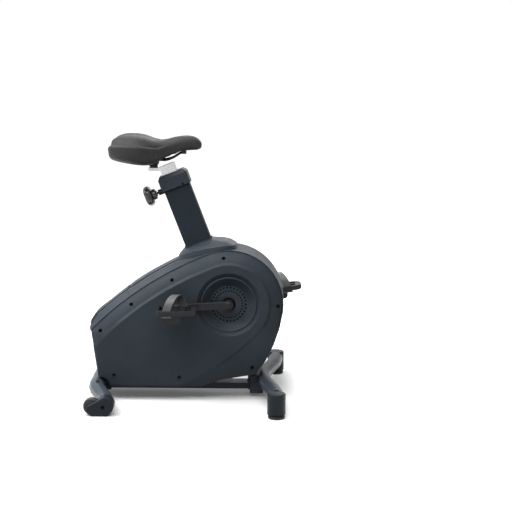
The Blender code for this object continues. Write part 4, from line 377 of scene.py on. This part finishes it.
def lathe(bm, profile, place, count, closed=False, lobes=None):
    """Adds a profile of radius and height turned about place's Z axis."""
    rings = []
    for radius, height in profile:
        if radius == 0:
            rings.append([bm.verts.new(place @ Vector((0, 0, height)))])
            continue
        ring = []
        for step in range(count):
            turn = 2 * math.pi * step / count
            reach = radius * (lobes(turn, height) if lobes else 1)
            spot = Vector((reach * math.cos(turn), reach * math.sin(turn), height))
            ring.append(bm.verts.new(place @ spot))
        rings.append(ring)
    pairs = list(zip(rings, rings[1:]))
    if closed:
        pairs.append((rings[-1], rings[0]))
    for first, second in pairs:
        for step in range(count):
            after = (step + 1) % count
            if len(first) == 1:
                bm.faces.new((first[0], second[step], second[after]))
            elif len(second) == 1:
                bm.faces.new((first[step], first[after], second[0]))
            else:
                bm.faces.new((first[step], first[after], second[after], second[step]))


def cut(obj, cutter):
    """Cuts another object out of this one and removes it."""
    step = obj.modifiers.new("Cut", "BOOLEAN")
    step.operation = "DIFFERENCE"
    step.solver = "EXACT"
    step.object = cutter
    settled(obj)
    bpy.data.objects.remove(cutter)


def beside(side):
    """The frame on the crank's axis whose Z points to that side."""
    return facing((0, side, 0), CRANK)


def from_crank(spot):
    """Where a spot lies in the side view, from the crank's axis."""
    return Vector((spot.x - CRANK.x, spot.z - CRANK.z))


def tipped(direction, side, angle):
    """A normal that faces to that side, tipped by angle towards a direction in the side view."""
    return Vector((direction.x * math.sin(angle), side * math.cos(angle), direction.y * math.sin(angle)))


def lean(obj, aim):
    """Turns the shading normals of the corners for which aim, of polygon and spot, gives one."""
    settled(obj)
    mesh = obj.data
    normals = [corner.vector.copy() for corner in mesh.corner_normals]
    for polygon in mesh.polygons:
        for corner in polygon.loop_indices:
            spot = mesh.vertices[mesh.loops[corner].vertex_index].co
            turned = aim(polygon, spot)
            if turned is not None:
                normals[corner] = turned.normalized()
    mesh.normals_split_custom_set(normals)


# The casing's side, with distances from the bike's middle plane: its band and the panel inside it
BAND_Y = 0.088
BAND_ROOT_Y = 0.0790
BAND_WIDTH = 0.0395
BAND_OUT = 0.0035
BAND_BACK = 0.0045
BAND_CENTRE = Vector((0.0, 0.25))
BAND_SLICES = 60
PULL_IN = 0.04
PROBE_STEP = 0.002
PANEL_Y = 0.092
PANEL_LIFT = 0.0025
TOP_Y = PANEL_Y + PANEL_LIFT
STEP_WIDTH = 0.0038
STEP_DEPTH = 0.0028
STEP_ZONE = 0.004
PANEL_SLACK = 0.0004
FACE_SLACK = 0.0009
RIM_LEAN = math.radians(46)
INNER_LEAN = math.radians(22)
STEP_LEAN = math.radians(52)
RING_LEAN = math.radians(42)
CONE_LEAN = math.radians(42)
LEAN_FADE = 0.05
UNDERSIDE_SHARE = 0.3
# The dish round the crank, with a bevelled ring from its floor to the face
DISH_FLOOR_R = 0.0912
DISH_R = 0.1042
DISH_FLOOR_Y = TOP_Y - 0.0036
DISH_CUT = (
    (0.080, DISH_FLOOR_Y), (DISH_FLOOR_R, DISH_FLOOR_Y), (DISH_R, TOP_Y), (DISH_R, 0.103),
    (0.080, 0.103),
)
RING_SPAN = (0.090, 0.1048)
RING_Y = 0.0905
BAND_SPAN = (0.078, TOP_Y - 0.0003)
BAND_FROM_R = 0.105
# How squarely a face looks to the side, as the size of its normal's y
FLAT_FACE = 0.99
STEP_FACE = 0.985
SIDE_FACE = 0.75
# Each casing screw's cup is drawn in the screws' near-black: painted shade of the recess.
SCREW_CUP = (
    (0, -0.0050), (0.0012, -0.0050), (0.0016, -0.0040), (0.0036, -0.0038), (0.0042, -0.0044),
    (0.0052, -0.0046), (0.0054, 0.0001), (0.0058, 0.0004), (0.0068, 0.0002), (0.0068, -0.0010),
    (0.0054, -0.0052), (0, -0.0060),
)
BAND_SCREWS = (
    (-0.311, 0.232), (-0.209, 0.320), (-0.076, 0.401), (0.091, 0.473), (0.267, 0.317),
    (0.184, 0.113),
)
PANEL_SCREWS = ((-0.268, 0.083), (-0.054, 0.077))


def hull_of(spots):
    return [Vector(spots[i]) for i in geometry.convex_hull_2d([Vector(spot) for spot in spots])]


def inward(hull, x, z):
    """Distance from a point of the side view to the casing's outline."""
    spot = Vector((x, z))
    nearest = 1.0
    for first, second in zip(hull, hull[1:] + hull[:1]):
        share = geometry.intersect_point_line(spot, first, second)[1]
        foot = first.lerp(second, clamp(share))
        nearest = min(nearest, (spot - foot).length)
    return nearest


def band_shift(hull, x, z):
    """How far the band's face leans out at its inner edge and back at its rim."""
    share = min(1.0, inward(hull, x, z) / BAND_WIDTH)
    return (BAND_OUT + BAND_BACK) * share - BAND_BACK


def outward(hull, x, z):
    """The direction in the side view that leaves the casing by the shortest way."""
    inner = Vector((x, z)).lerp(BAND_CENTRE, PULL_IN)
    step = PROBE_STEP
    slope = Vector((
        inward(hull, inner.x + step, inner.y) - inward(hull, inner.x - step, inner.y),
        inward(hull, inner.x, inner.y + step) - inward(hull, inner.x, inner.y - step),
    ))
    return -slope.normalized()


def slice_band(bm):
    """Cuts the band's flat faces along lines through its centre, so that they can lean evenly."""
    for number in range(BAND_SLICES):
        turn = math.pi * number / BAND_SLICES
        band = [
            f for f in bm.faces
            if abs(f.normal.y) > FLAT_FACE and abs(abs(f.calc_center_median().y) - BAND_Y) < FACE_SLACK
        ]
        around = {edge for face in band for edge in face.edges}
        bmesh.ops.bisect_plane(
            bm, geom=[*band, *around, *{v for e in around for v in e.verts}], dist=WELD,
            plane_co=(BAND_CENTRE.x, 0, BAND_CENTRE.y),
            plane_no=(math.cos(turn), 0, math.sin(turn)),
        )


def shape_side(bm, hull, side):
    """Leans the band, lifts the panel and slopes the step round it."""
    for vert in bm.verts:
        x, reach, z = vert.co.x, abs(vert.co.y), vert.co.z
        if reach > BAND_Y + FACE_SLACK:
            lift = PANEL_LIFT * min(1.0, (reach - BAND_Y) / (PANEL_Y - BAND_Y))
            if reach > PANEL_Y - PANEL_SLACK and inward(hull, x, z) < BAND_WIDTH + STEP_ZONE:
                out = outward(hull, x, z) * STEP_WIDTH
                vert.co.x -= out.x
                vert.co.z -= out.y
        elif reach > BAND_ROOT_Y:
            lift = band_shift(hull, x, z)
        else:
            continue
        vert.co.y += side * lift


def casing_aim(hull, side):
    """Shading normals of the casing: the bevelled ring round its dish, its step and its band."""
    def aim(polygon, spot):
        facing_out = abs(polygon.normal.y)
        radial = from_crank(spot)
        on_ring = RING_SPAN[0] < radial.length < RING_SPAN[1] and abs(spot.y) > RING_Y
        if on_ring and facing_out < 0.999:
            return tipped(-radial.normalized(), side, RING_LEAN)
        reach = abs(polygon.center.y)
        on_band = BAND_SPAN[0] < reach < BAND_SPAN[1] and radial.length >= BAND_FROM_R
        if facing_out < SIDE_FACE or not on_band:
            return None
        depth = inward(hull, spot.x, spot.z)
        out = outward(hull, spot.x, spot.z)
        if reach > TOP_Y - STEP_DEPTH and facing_out < STEP_FACE:
            angle = STEP_LEAN
        else:
            angle = RIM_LEAN + (INNER_LEAN - RIM_LEAN) * min(1.0, depth / BAND_WIDTH)
            angle *= max(0.0, 1 - max(0.0, depth - BAND_WIDTH) / LEAN_FADE)
        if out.y < -0.3:
            angle *= UNDERSIDE_SHARE
        return tipped(out, side, angle)

    return aim


def make_casing(name, side):
    """The casing's side with its band leaning back and a dish for the crank cover."""
    mesh = NODES[f"{name}_casing"].data
    hull = hull_of([(v.co.x, v.co.z) for v in mesh.vertices])
    bm = bmesh.new()
    bm.from_mesh(mesh)
    bmesh.ops.remove_doubles(bm, verts=bm.verts, dist=WELD)
    bmesh.ops.dissolve_limit(bm, angle_limit=math.radians(0.5), verts=bm.verts, edges=bm.edges)
    slice_band(bm)
    shape_side(bm, hull, side)
    casing = piece(f"{name}_casing_shell", bm, "casing", "stand")
    dish = bmesh.new()
    lathe(dish, DISH_CUT, beside(side), 96, closed=True)
    cut(casing, solid(f"{name}_dish_cutter", dish))
    refine(casing, 0.0006, 14, 18, flats=False)
    lean(casing, casing_aim(hull, side))
    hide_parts(f"{name}_casing")
    make_casing_screws(name, side, hull)


def make_casing_screws(name, side, hull):
    """Dark screws deep in their cups, round the casing and on its panel; the cups are near-black too, as
    painted shade.
    """
    bm = bmesh.new()
    seats = [(x, z, BAND_Y + band_shift(hull, x, z)) for x, z in BAND_SCREWS]
    seats += [(x, z, TOP_Y) for x, z in PANEL_SCREWS]
    for x, z, face in seats:
        lathe(bm, SCREW_CUP, facing((0, side, 0), (x, side * face, z)), 24)
    refine(piece(f"{name}_casing_screws", bm, "screw", "stand"), 0, 30, 30)


# The crank cover's profiles, as radius from the crank's axis and distance from the middle plane
SHROUD = (
    (0.0215, 0.0832), (0.0225, 0.0835), (0.0600, 0.0835), (0.0616, 0.0838), (0.0628, 0.0844),
    (0.0862, 0.0926), (0.0876, 0.0931), (0.0888, 0.0932), (0.0898, 0.0929), (0.0906, 0.0921),
    (0.0911, 0.0916), (0.0918, 0.0914), (0.0965, 0.0927), (0.0966, 0.09255), (0.0938, 0.0919),
    (0.0937, 0.0896), (0.0890, 0.0893), (0.0878, 0.0898), (0.0630, 0.0812), (0.0215, 0.0808),
)
CONE = (0.0625, 0.0865)
RING_START = 0.0914
# A near-black ring just behind the vents: painted shade of the casing's inside, seen through them.
VENT_SHADE_SHEET = ((0.0385, 0.0797), (0.0610, 0.0797), (0.0610, 0.0804), (0.0385, 0.0804))
CRANK_CAP = (
    (0, 0.1149), (0.0045, 0.1148), (0.0086, 0.1142), (0.0108, 0.1131), (0.0116, 0.1122),
    (0.0112, 0.1118), (0, 0.1108),
)
VENT_RINGS = ((0.0556, 0.0034), (0.0442, 0.0029))
VENT_SPAN = (0.078, 0.087)
VENTS = 30


def vent_cutter(name, side):
    """Two rings of round pegs, the inner ones between the outer ones."""
    bm = bmesh.new()
    low, high = VENT_SPAN
    for ring, (ring_r, hole_r) in enumerate(VENT_RINGS):
        for number in range(VENTS):
            turn = 2 * math.pi * (number + ring / 2) / VENTS
            spot = CRANK + Vector((ring_r * math.cos(turn), 0, ring_r * math.sin(turn)))
            place = facing((0, side, 0), spot)
            lathe(bm, [(0, low), (hole_r, low), (hole_r, high), (0, high)], place, 10)
    return solid(f"{name}_vent_cutter", bm)


def cover_aim(side):
    """Shading normals of the crank cover's cone and outer ring, both sloping towards the crank."""
    def aim(polygon, spot):
        radial = from_crank(spot)
        sloping = CONE[0] < radial.length < CONE[1] or radial.length > RING_START
        if not sloping or polygon.normal.y * side < 0.7:
            return None
        return tipped(-radial.normalized(), side, CONE_LEAN)

    return aim


def make_crank_cover(name, side):
    """A deep round cover: raised lip, cone, and a disc with two rings of vents."""
    bm = bmesh.new()
    lathe(bm, SHROUD, beside(side), 120, closed=True)
    cover = piece(f"{name}_crank_shroud", bm, "dish", "stand")
    cut(cover, vent_cutter(name, side))
    shaded(cover, 24)
    lean(cover, cover_aim(side))
    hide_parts(f"{name}_crank_cover")
    # Behind the vents, a near-black sheet as painted shade.
    bm = bmesh.new()
    lathe(bm, VENT_SHADE_SHEET, beside(side), 64, closed=True)
    shaded(piece(f"{name}_vent_screen", bm, "vent_shade", "stand"), 30)
    bm = bmesh.new()
    lathe(bm, CRANK_CAP, beside(side), 40)
    refine(piece(f"crank_cap_{name}", bm, "alloy", "crankset"), 0, 30, 50)


PLUG_PLACE = (-0.0030, 0, 0.7620)
PLUG_SIZE = (0.0330, 0.0430, 0.0006)


def make_post_plug():
    """The dark plug in the top of the seat post's tube."""
    bm = bmesh.new()
    bmesh.ops.create_cube(bm, size=1)
    place = MAST @ Matrix.Translation(PLUG_PLACE) @ Matrix.Diagonal((*PLUG_SIZE, 1))
    bmesh.ops.transform(bm, matrix=place, verts=bm.verts)
    refine(piece("post_plug", bm, "satin", "post"), 0.0002, 30, 30)


KNOB_FACE = 0.109
KNOB_LOBES = 5
LOBE_DEPTH = 0.085
LOBE_FOOT = 0.0250
LOBE_FADE = 0.006
KNOB = (
    (0, -0.0030), (0.0120, -0.0022), (0.0210, -0.0004), (0.0255, 0.0006), (0.0296, -0.0008),
    (0.0326, -0.0040), (0.0340, -0.0085), (0.0339, -0.0140), (0.0322, -0.0190), (0.0280, -0.0228),
    (0.0200, -0.0245), (0.0180, -0.0258), (0.0174, -0.0350), (0.0162, -0.0364), (0.0100, -0.0368),
    (0.0096, -0.0400), (0, -0.0400),
)


def knob_lobes(turn, height):
    """The knob's radius as a share of its profile's: five hollows, which fade out at the hub."""
    share = clamp((height - KNOB_FACE + LOBE_FOOT) / LOBE_FADE)
    return 1 - LOBE_DEPTH * share * (1 + math.cos(KNOB_LOBES * turn)) / 2


def make_knob():
    """The pull knob: a lobed, domed disc on a round hub."""
    bm = bmesh.new()
    profile = [(radius, KNOB_FACE + height) for radius, height in KNOB]
    lathe(bm, profile, facing(PIN_AXIS, PIN), 80, lobes=knob_lobes)
    knob = piece("pull_knob", bm, "satin", "pull_pin")
    refine(knob, 0, 30, 50)
    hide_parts("adjusting_knob")


def socket_bolt(bm, spot, normal, radius, rise):
    """A round bolt head with a hexagonal socket."""
    place = facing(normal, spot)
    head = [
        (radius * 1.45, -0.0004), (radius * 1.45, 0.0006), (radius * 1.1, 0.0008),
        (radius, rise * 0.4), (radius * 0.92, rise * 0.85), (radius * 0.70, rise),
        (radius * 0.52, rise),
    ]
    lathe(bm, head, place, 24)
    rim = [(radius * 0.50, rise), (radius * 0.46, rise * 0.3), (0, rise * 0.25)]
    lathe(bm, rim, place, 6)


# Fixings of the left side: place, direction, radius and rise of the head
FRAME_BOLTS = (
    ((0.1735, 0.0403, 0.0575), (0, 1, 0), 0.0042, 0.003),
    ((0.1757, 0.0403, 0.0405), (0, 1, 0), 0.0042, 0.003),
    ((-0.2984, 0.0343, 0.0330), (0, 1, 0), 0.0042, 0.003),
    ((-0.3175, 0.1298, 0.0722), (-0.24, 0.16, 0.96), 0.005, 0.004),
)
CAP_SCREWS = (
    ((-0.2830, 0.2911, 0.0298), (0, 1, 0), 0.0046, 0.0014),
    ((-0.0436, 0.0366, 0.7107), (0, 1, 0), 0.0023, 0.0010),
)


def make_fixings(name, fixings, look):
    """The same fixings on both sides, as one piece."""
    bm = bmesh.new()
    for side in (1, -1):
        for (x, y, z), (out_x, out_y, out_z), radius, rise in fixings:
            socket_bolt(bm, (x, side * y, z), (out_x, side * out_y, out_z), radius, rise)
    refine(piece(name, bm, look, "stand"), 0, 30, 38)


PANEL_HALF = 0.034
COVER_SPLIT = -0.2192
PANEL_END = -0.0590
REAR_LIMIT = -0.3495
PANEL_RISE = 0.0034
PANEL_SWELLS = ((-0.333, 0.030, 0.0046), (-0.180, 0.060, 0.0018))
COVER_FOOT_Z = 0.238
LINE_STEP = 0.008
# The panel's section as shares of its half width and of its rise, and the seam strip's in metres of
# rise; the near-black seam strips mark the seam and paint the shade of its gap
PANEL_SECTION = (
    (-1.06, -0.3), (-1.04, 0.40), (-0.99, 0.80), (-0.90, 1.0), (0.90, 1.0), (0.99, 0.80),
    (1.04, 0.40), (1.06, -0.3), (1.0, -0.6), (-1.0, -0.6),
)
SEAM_SHADE_SECTION = ((1.05, -0.0004), (1.05, 0.0014), (1.11, 0.0014), (1.13, -0.0004))


def cover_line():
    """The upper outline of the covers behind the mast, from their foot to the boot."""
    spots = [
        Vector((v.co.x, v.co.z)) for name in ("rear_top_cover", "middle_top_cover")
        for v in NODES[name].data.vertices
    ]
    upper = sorted((spot for spot in hull_of(spots) if spot.y > COVER_FOOT_Z), key=lambda spot: spot.x)
    line = [spot for spot in upper if spot.x < PANEL_END]
    before, after = line[-1], upper[len(line)]
    line.append(before.lerp(after, (PANEL_END - before.x) / (after.x - before.x)))
    even = []
    for first, second in zip(line, line[1:]):
        count = max(1, round((second - first).length / LINE_STEP))
        even += [first.lerp(second, step / count) for step in range(count)]
    even.append(line[-1])
    for _ in range(3):
        middles = [(a + 2 * b + c) / 4 for a, b, c in zip(even, even[1:], even[2:])]
        even = [even[0], *middles, even[-1]]
    return even


def join_rings(bm, rings):
    """Joins rings of as many points each into one closed form."""
    for first, second in zip(rings, rings[1:]):
        for step in range(len(first)):
            after = (step + 1) % len(first)
            bm.faces.new((first[step], first[after], second[after], second[step]))
    bm.faces.new(rings[0])
    bm.faces.new(rings[-1])


def make_cover_panels():
    """The raised middle of the covers, in two lengths that meet over the covers' joint, with near-black
    strips along its edges that mark its seam and paint the shade of the gap there.
    """
    line = cover_line()
    bm, seam_shade = bmesh.new(), bmesh.new()
    for lengthwise in (
        [spot for spot in line if spot.x < COVER_SPLIT - 0.001],
        [spot for spot in line if spot.x > COVER_SPLIT + 0.001],
    ):
        rings = []
        shade_strips = {1: [], -1: []}
        for number, spot in enumerate(lengthwise):
            before = lengthwise[max(0, number - 1)]
            after = lengthwise[min(len(lengthwise) - 1, number + 1)]
            run = (after - before).normalized()
            out = Vector((-run.y, run.x))
            height = relief(PANEL_SWELLS, spot.x, PANEL_RISE)
            rings.append([
                bm.verts.new((
                    max(REAR_LIMIT, spot.x + out.x * rise * height), share * PANEL_HALF,
                    spot.y + out.y * rise * height,
                ))
                for share, rise in PANEL_SECTION
            ])
            for side, shade_strip in shade_strips.items():
                edge = side * PANEL_HALF
                shade_strip.append([
                    seam_shade.verts.new((spot.x + out.x * rise, edge * share, spot.y + out.y * rise))
                    for share, rise in SEAM_SHADE_SECTION
                ])
        join_rings(bm, rings)
        for shade_strip in shade_strips.values():
            join_rings(seam_shade, shade_strip)
    refine(piece("cover_panels", bm, "cover", "stand"), 0, 30, 50)
    # Near-black strips at the panel's edges: the seam line and painted shade of its gap.
    refine(piece("cover_seams", seam_shade, "screw", "stand"), 0, 30, 38)


# Heights along the saddle: of its foam's underside, and of the sewn crease in its side
UNDERSIDE = (
    (-0.2850, 0.796), (-0.2760, 0.784), (-0.2480, 0.776), (-0.2120, 0.769), (-0.1800, 0.764),
    (-0.1500, 0.762), (-0.1220, 0.774), (-0.0940, 0.795), (-0.0600, 0.808), (-0.0200, 0.814),
    (0.0090, 0.817), (0.0205, 0.822),
)
CREASE = (
    (-0.2850, 0.8260), (-0.2760, 0.8365), (-0.2480, 0.8435), (-0.2120, 0.8420), (-0.1800, 0.8390),
    (-0.1500, 0.8320), (-0.1220, 0.8280), (-0.0940, 0.8360),
)
# Reliefs as rows of centre, width and height: across the crease, along the neck and over the pad
GROOVE = ((0.0015, 0.0034, 0.0034), (0.0100, 0.0110, 0.0026), (-0.0065, 0.0062, -0.0022))
STEEPER = ((0.0260, 0.0100, 0.0062), (0.0060, 0.0060, -0.0040))
VALLEY = ((0.0, 0.012, 0.0022),)
NECK = ((-0.075, 0.028, 0.0050),)
GROOVE_START, GROOVE_FADE = -0.088, 0.03
STEEPER_START, STEEPER_FADE = -0.150, 0.04
VALLEY_START = -0.12
SADDLE_MIDDLE = Vector((-0.14, 0, 0.818))
SADDLE_SHRINK = 0.988
SKIN_VOXEL = 0.0050
HELD_DEPTH = 0.014
MOST_SWELL = 0.003
SWELL_FRAMES = 20
FOAM = {
    "vertex_group_mass": "held", "quality": 4, "mass": 0.3, "tension_stiffness": 25,
    "compression_stiffness": 25, "bending_stiffness": 2, "use_pressure": True,
    "uniform_pressure_force": 4,
}


def along(table, x):
    """The value beside x in a table of x and value, straight between its rows."""
    for (x0, v0), (x1, v1) in zip(table, table[1:]):
        if x <= x1:
            return v0 + (v1 - v0) * max(0.0, (x - x0) / (x1 - x0))
    return table[-1][1]


def make_saddle():
    """The saddle's cover over its foam: swelled like a filled pad, then creased along its side."""
    cushion = linked("saddle_pad", NODES["saddle_cushion"].data.copy())
    for vert in cushion.data.vertices:
        vert.co = SADDLE_MIDDLE + (vert.co - SADDLE_MIDDLE) * SADDLE_SHRINK
    skin = cushion.modifiers.new("Skin", "REMESH")
    skin.mode = "VOXEL"
    skin.voxel_size = SKIN_VOXEL
    settled(cushion)
    swell(cushion)
    smooth = cushion.modifiers.new("Even", "CORRECTIVE_SMOOTH")
    smooth.factor = 0.5
    smooth.iterations = 4
    smooth.use_only_smooth = True
    settled(cushion)
    finer = cushion.modifiers.new("Finer", "SUBSURF")
    finer.levels = 1
    finer.render_levels = 1
    settled(cushion)
    crease(cushion.data)
    for polygon in cushion.data.polygons:
        polygon.use_smooth = True
    put(cushion, LOOKS["skin"])
    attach(cushion, "saddle")
    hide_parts("saddle_cushion")


def swell(cushion):
    """Lets pressure swell the pad's skin by a few millimetres, with its underside held."""
    rest = [vert.co.copy() for vert in cushion.data.vertices]
    group = cushion.vertex_groups.new(name="held")
    held = [i for i, co in enumerate(rest) if co.z < along(UNDERSIDE, co.x) + HELD_DEPTH]
    group.add(held, 1.0, "REPLACE")
    cloth = cushion.modifiers.new("Foam", "CLOTH")
    for setting, value in FOAM.items():
        setattr(cloth.settings, setting, value)
    cloth.settings.effector_weights.gravity = 0
    cloth.collision_settings.use_collision = False
    scene = bpy.context.scene
    for number in range(1, SWELL_FRAMES + 1):
        scene.frame_set(number)
    settled(cushion)
    for vert, start in zip(cushion.data.vertices, rest):
        move = vert.co - start
        if move.length > MOST_SWELL:
            vert.co = start + move * (MOST_SWELL / move.length)
    scene.frame_set(1)


def crease(mesh):
    """Presses the sewn crease into the side, steepens the pad above it and lowers the neck."""
    normals = [vert.normal.copy() for vert in mesh.vertices]
    for vert, normal in zip(mesh.vertices, normals):
        x, y, z = vert.co
        upright = 1 - min(1.0, abs(normal.z) * 0.8)
        fade = clamp((GROOVE_START - x) / GROOVE_FADE)
        above = z - along(CREASE, x)
        valley = relief(VALLEY, y) if normal.z > 0.5 and x < VALLEY_START else 0
        vert.co -= normal * (relief(GROOVE, above) * fade * upright + valley)
        level = Vector((normal.x, normal.y, 0))
        vert.co += level * relief(STEEPER, above) * clamp((STEEPER_START - x) / STEEPER_FADE)
        if normal.z < -0.2:
            vert.co.z -= relief(NECK, x)


for name, side in SIDES:
    make_casing(name, side)
    make_crank_cover(name, side)
make_cover_panels()
make_post_plug()
make_knob()
make_fixings("frame_bolts", FRAME_BOLTS, "alloy")
make_fixings("cap_screws", CAP_SCREWS, "screw")
make_saddle()
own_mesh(NODES["pin_spring"])


# Lamps: place, width, depth and power, each aimed at the middle of the bike
LAMPS = {
    "overhead": ((0.0, -0.1, 3.3), 2.2, 1.8, 45),
    "front": ((-0.3, -2.0, 2.7), 2.4, 1.6, 60),
    "left": ((-1.9, -0.5, 2.6), 1.8, 1.8, 88),
    "back": ((0.6, 2.6, 2.2), 2.2, 1.4, 20),
}
LAMP_TARGET = Vector((0, 0, 0.35))
FILL = ((0.94, 0.97, 1.0, 1), 0.08)
BACKDROP = ((1, 1, 1, 1), 1.0)
FLOOR_SIZE = 30
FLOOR_LIT = (0.26, 0.26, 0.26, 1)
FLOOR_SEEN = (0.84, 0.84, 0.84, 1)
SHADOW_OVAL = (1.2, 0.5, 1.0)
SHADOW_SHIFT = (0.1, 0.0, 0.0)
SHADOW_SPAN = (0.40, 0.62)
FLOOR_GLOW = (0.10, 1.0)


def seen(tree):
    """1 for the rays that show the background: the camera's, and those mirrored or let through."""
    path = tree.nodes.new("ShaderNodeLightPath")
    value = path.outputs["Is Camera Ray"]
    for name in ("Is Glossy Ray", "Is Transmission Ray"):
        either = tree.nodes.new("ShaderNodeMath")
        either.operation = "MAXIMUM"
        tree.links.new(value, either.inputs[0])
        tree.links.new(path.outputs[name], either.inputs[1])
        value = either.outputs[0]
    return value


def studio():
    """A white backdrop that gives little light of its own, and the lamps."""
    world = bpy.data.worlds.new("studio")
    bpy.context.scene.world = world
    world.use_nodes = True
    tree = world.node_tree
    tree.nodes.clear()
    output = tree.nodes.new("ShaderNodeOutputWorld")
    mix = tree.nodes.new("ShaderNodeMixShader")
    for number, (colour, strength) in enumerate((FILL, BACKDROP)):
        light = tree.nodes.new("ShaderNodeBackground")
        light.inputs["Color"].default_value = colour
        light.inputs["Strength"].default_value = strength
        tree.links.new(light.outputs[0], mix.inputs[number + 1])
    tree.links.new(seen(tree), mix.inputs["Fac"])
    tree.links.new(mix.outputs[0], output.inputs["Surface"])
    for name, (place, width, depth, power) in LAMPS.items():
        lamp(name, place, width, depth, power)


def lamp(name, place, width, depth, power):
    light = bpy.data.lights.new(name, "AREA")
    light.shape = "RECTANGLE"
    light.size = width
    light.size_y = depth
    light.energy = power
    obj = linked(name, light)
    obj.location = place
    obj.rotation_euler = (LAMP_TARGET - Vector(place)).to_track_quat("-Z", "Y").to_euler()


def floor_glow(tree, background):
    """The floor's own light for the rays that see it: faint in the oval of the shadow, full outside."""
    place = tree.nodes.new("ShaderNodeNewGeometry")
    oval = tree.nodes.new("ShaderNodeVectorMath")
    oval.operation = "MULTIPLY_ADD"
    oval.inputs[1].default_value = SHADOW_OVAL
    oval.inputs[2].default_value = SHADOW_SHIFT
    reach = tree.nodes.new("ShaderNodeVectorMath")
    reach.operation = "LENGTH"
    rise = tree.nodes.new("ShaderNodeMapRange")
    rise.interpolation_type = "SMOOTHSTEP"
    spans = zip(("From Min", "From Max", "To Min", "To Max"), (*SHADOW_SPAN, *FLOOR_GLOW))
    for socket, value in spans:
        rise.inputs[socket].default_value = value
    lift = tree.nodes.new("ShaderNodeMath")
    lift.operation = "MULTIPLY"
    glow = tree.nodes.new("ShaderNodeEmission")
    tree.links.new(place.outputs["Position"], oval.inputs[0])
    tree.links.new(oval.outputs["Vector"], reach.inputs[0])
    tree.links.new(reach.outputs["Value"], rise.inputs["Value"])
    tree.links.new(background, lift.inputs[0])
    tree.links.new(rise.outputs["Result"], lift.inputs[1])
    tree.links.new(lift.outputs[0], glow.inputs["Strength"])
    return glow.outputs[0]


def floor():
    """A pale floor that keeps the bike's shadow and runs out to white away from it."""
    mesh = bpy.data.meshes.new("floor")
    size = FLOOR_SIZE
    corners = [(-size, -size, 0), (size, -size, 0), (size, size, 0), (-size, size, 0)]
    mesh.from_pydata(corners, [], [(0, 1, 2, 3)])
    obj = linked("floor", mesh)
    material = bpy.data.materials.new("white_floor")
    material.use_nodes = True
    tree = material.node_tree
    principled = tree.nodes["Principled BSDF"]
    pale = tree.nodes.new("ShaderNodeMix")
    pale.data_type = "RGBA"
    pale.inputs[6].default_value = FLOOR_LIT
    pale.inputs[7].default_value = FLOOR_SEEN
    background = seen(tree)
    tree.links.new(background, pale.inputs[0])
    tree.links.new(pale.outputs[2], principled.inputs["Base Color"])
    principled.inputs["Roughness"].default_value = 0.9
    principled.inputs["Specular IOR Level"].default_value = 0.0
    both = tree.nodes.new("ShaderNodeAddShader")
    tree.links.new(principled.outputs[0], both.inputs[0])
    tree.links.new(floor_glow(tree, background), both.inputs[1])
    tree.links.new(both.outputs[0], tree.nodes["Material Output"].inputs["Surface"])
    mesh.materials.append(material)


LENS = 96.235
EYE = (0.2356, -4.45271, 1.19548)
YAW, PITCH, ROLL = -0.00918, 0.16191, 0.00527


def camera():
    """The photograph's view: eye, aim and lens fitted to points of the bike in it."""
    data = bpy.data.cameras.new("camera")
    data.lens = LENS
    data.sensor_width = 36
    data.clip_end = 100
    obj = linked("camera", data)
    level = math.cos(PITCH)
    forward = Vector((math.sin(YAW) * level, math.cos(YAW) * level, -math.sin(PITCH)))
    right = Vector((math.cos(YAW), -math.sin(YAW), 0))
    up = right.cross(forward)
    turned_right = right * math.cos(ROLL) + up * math.sin(ROLL)
    turned_up = up * math.cos(ROLL) - right * math.sin(ROLL)
    rows = Matrix((turned_right, turned_up, -forward)).transposed()
    obj.matrix_world = Matrix.Translation(EYE) @ rows.to_4x4()
    bpy.context.scene.camera = obj


studio()
floor()
camera()
bpy.context.scene.view_settings.view_transform = "Standard"
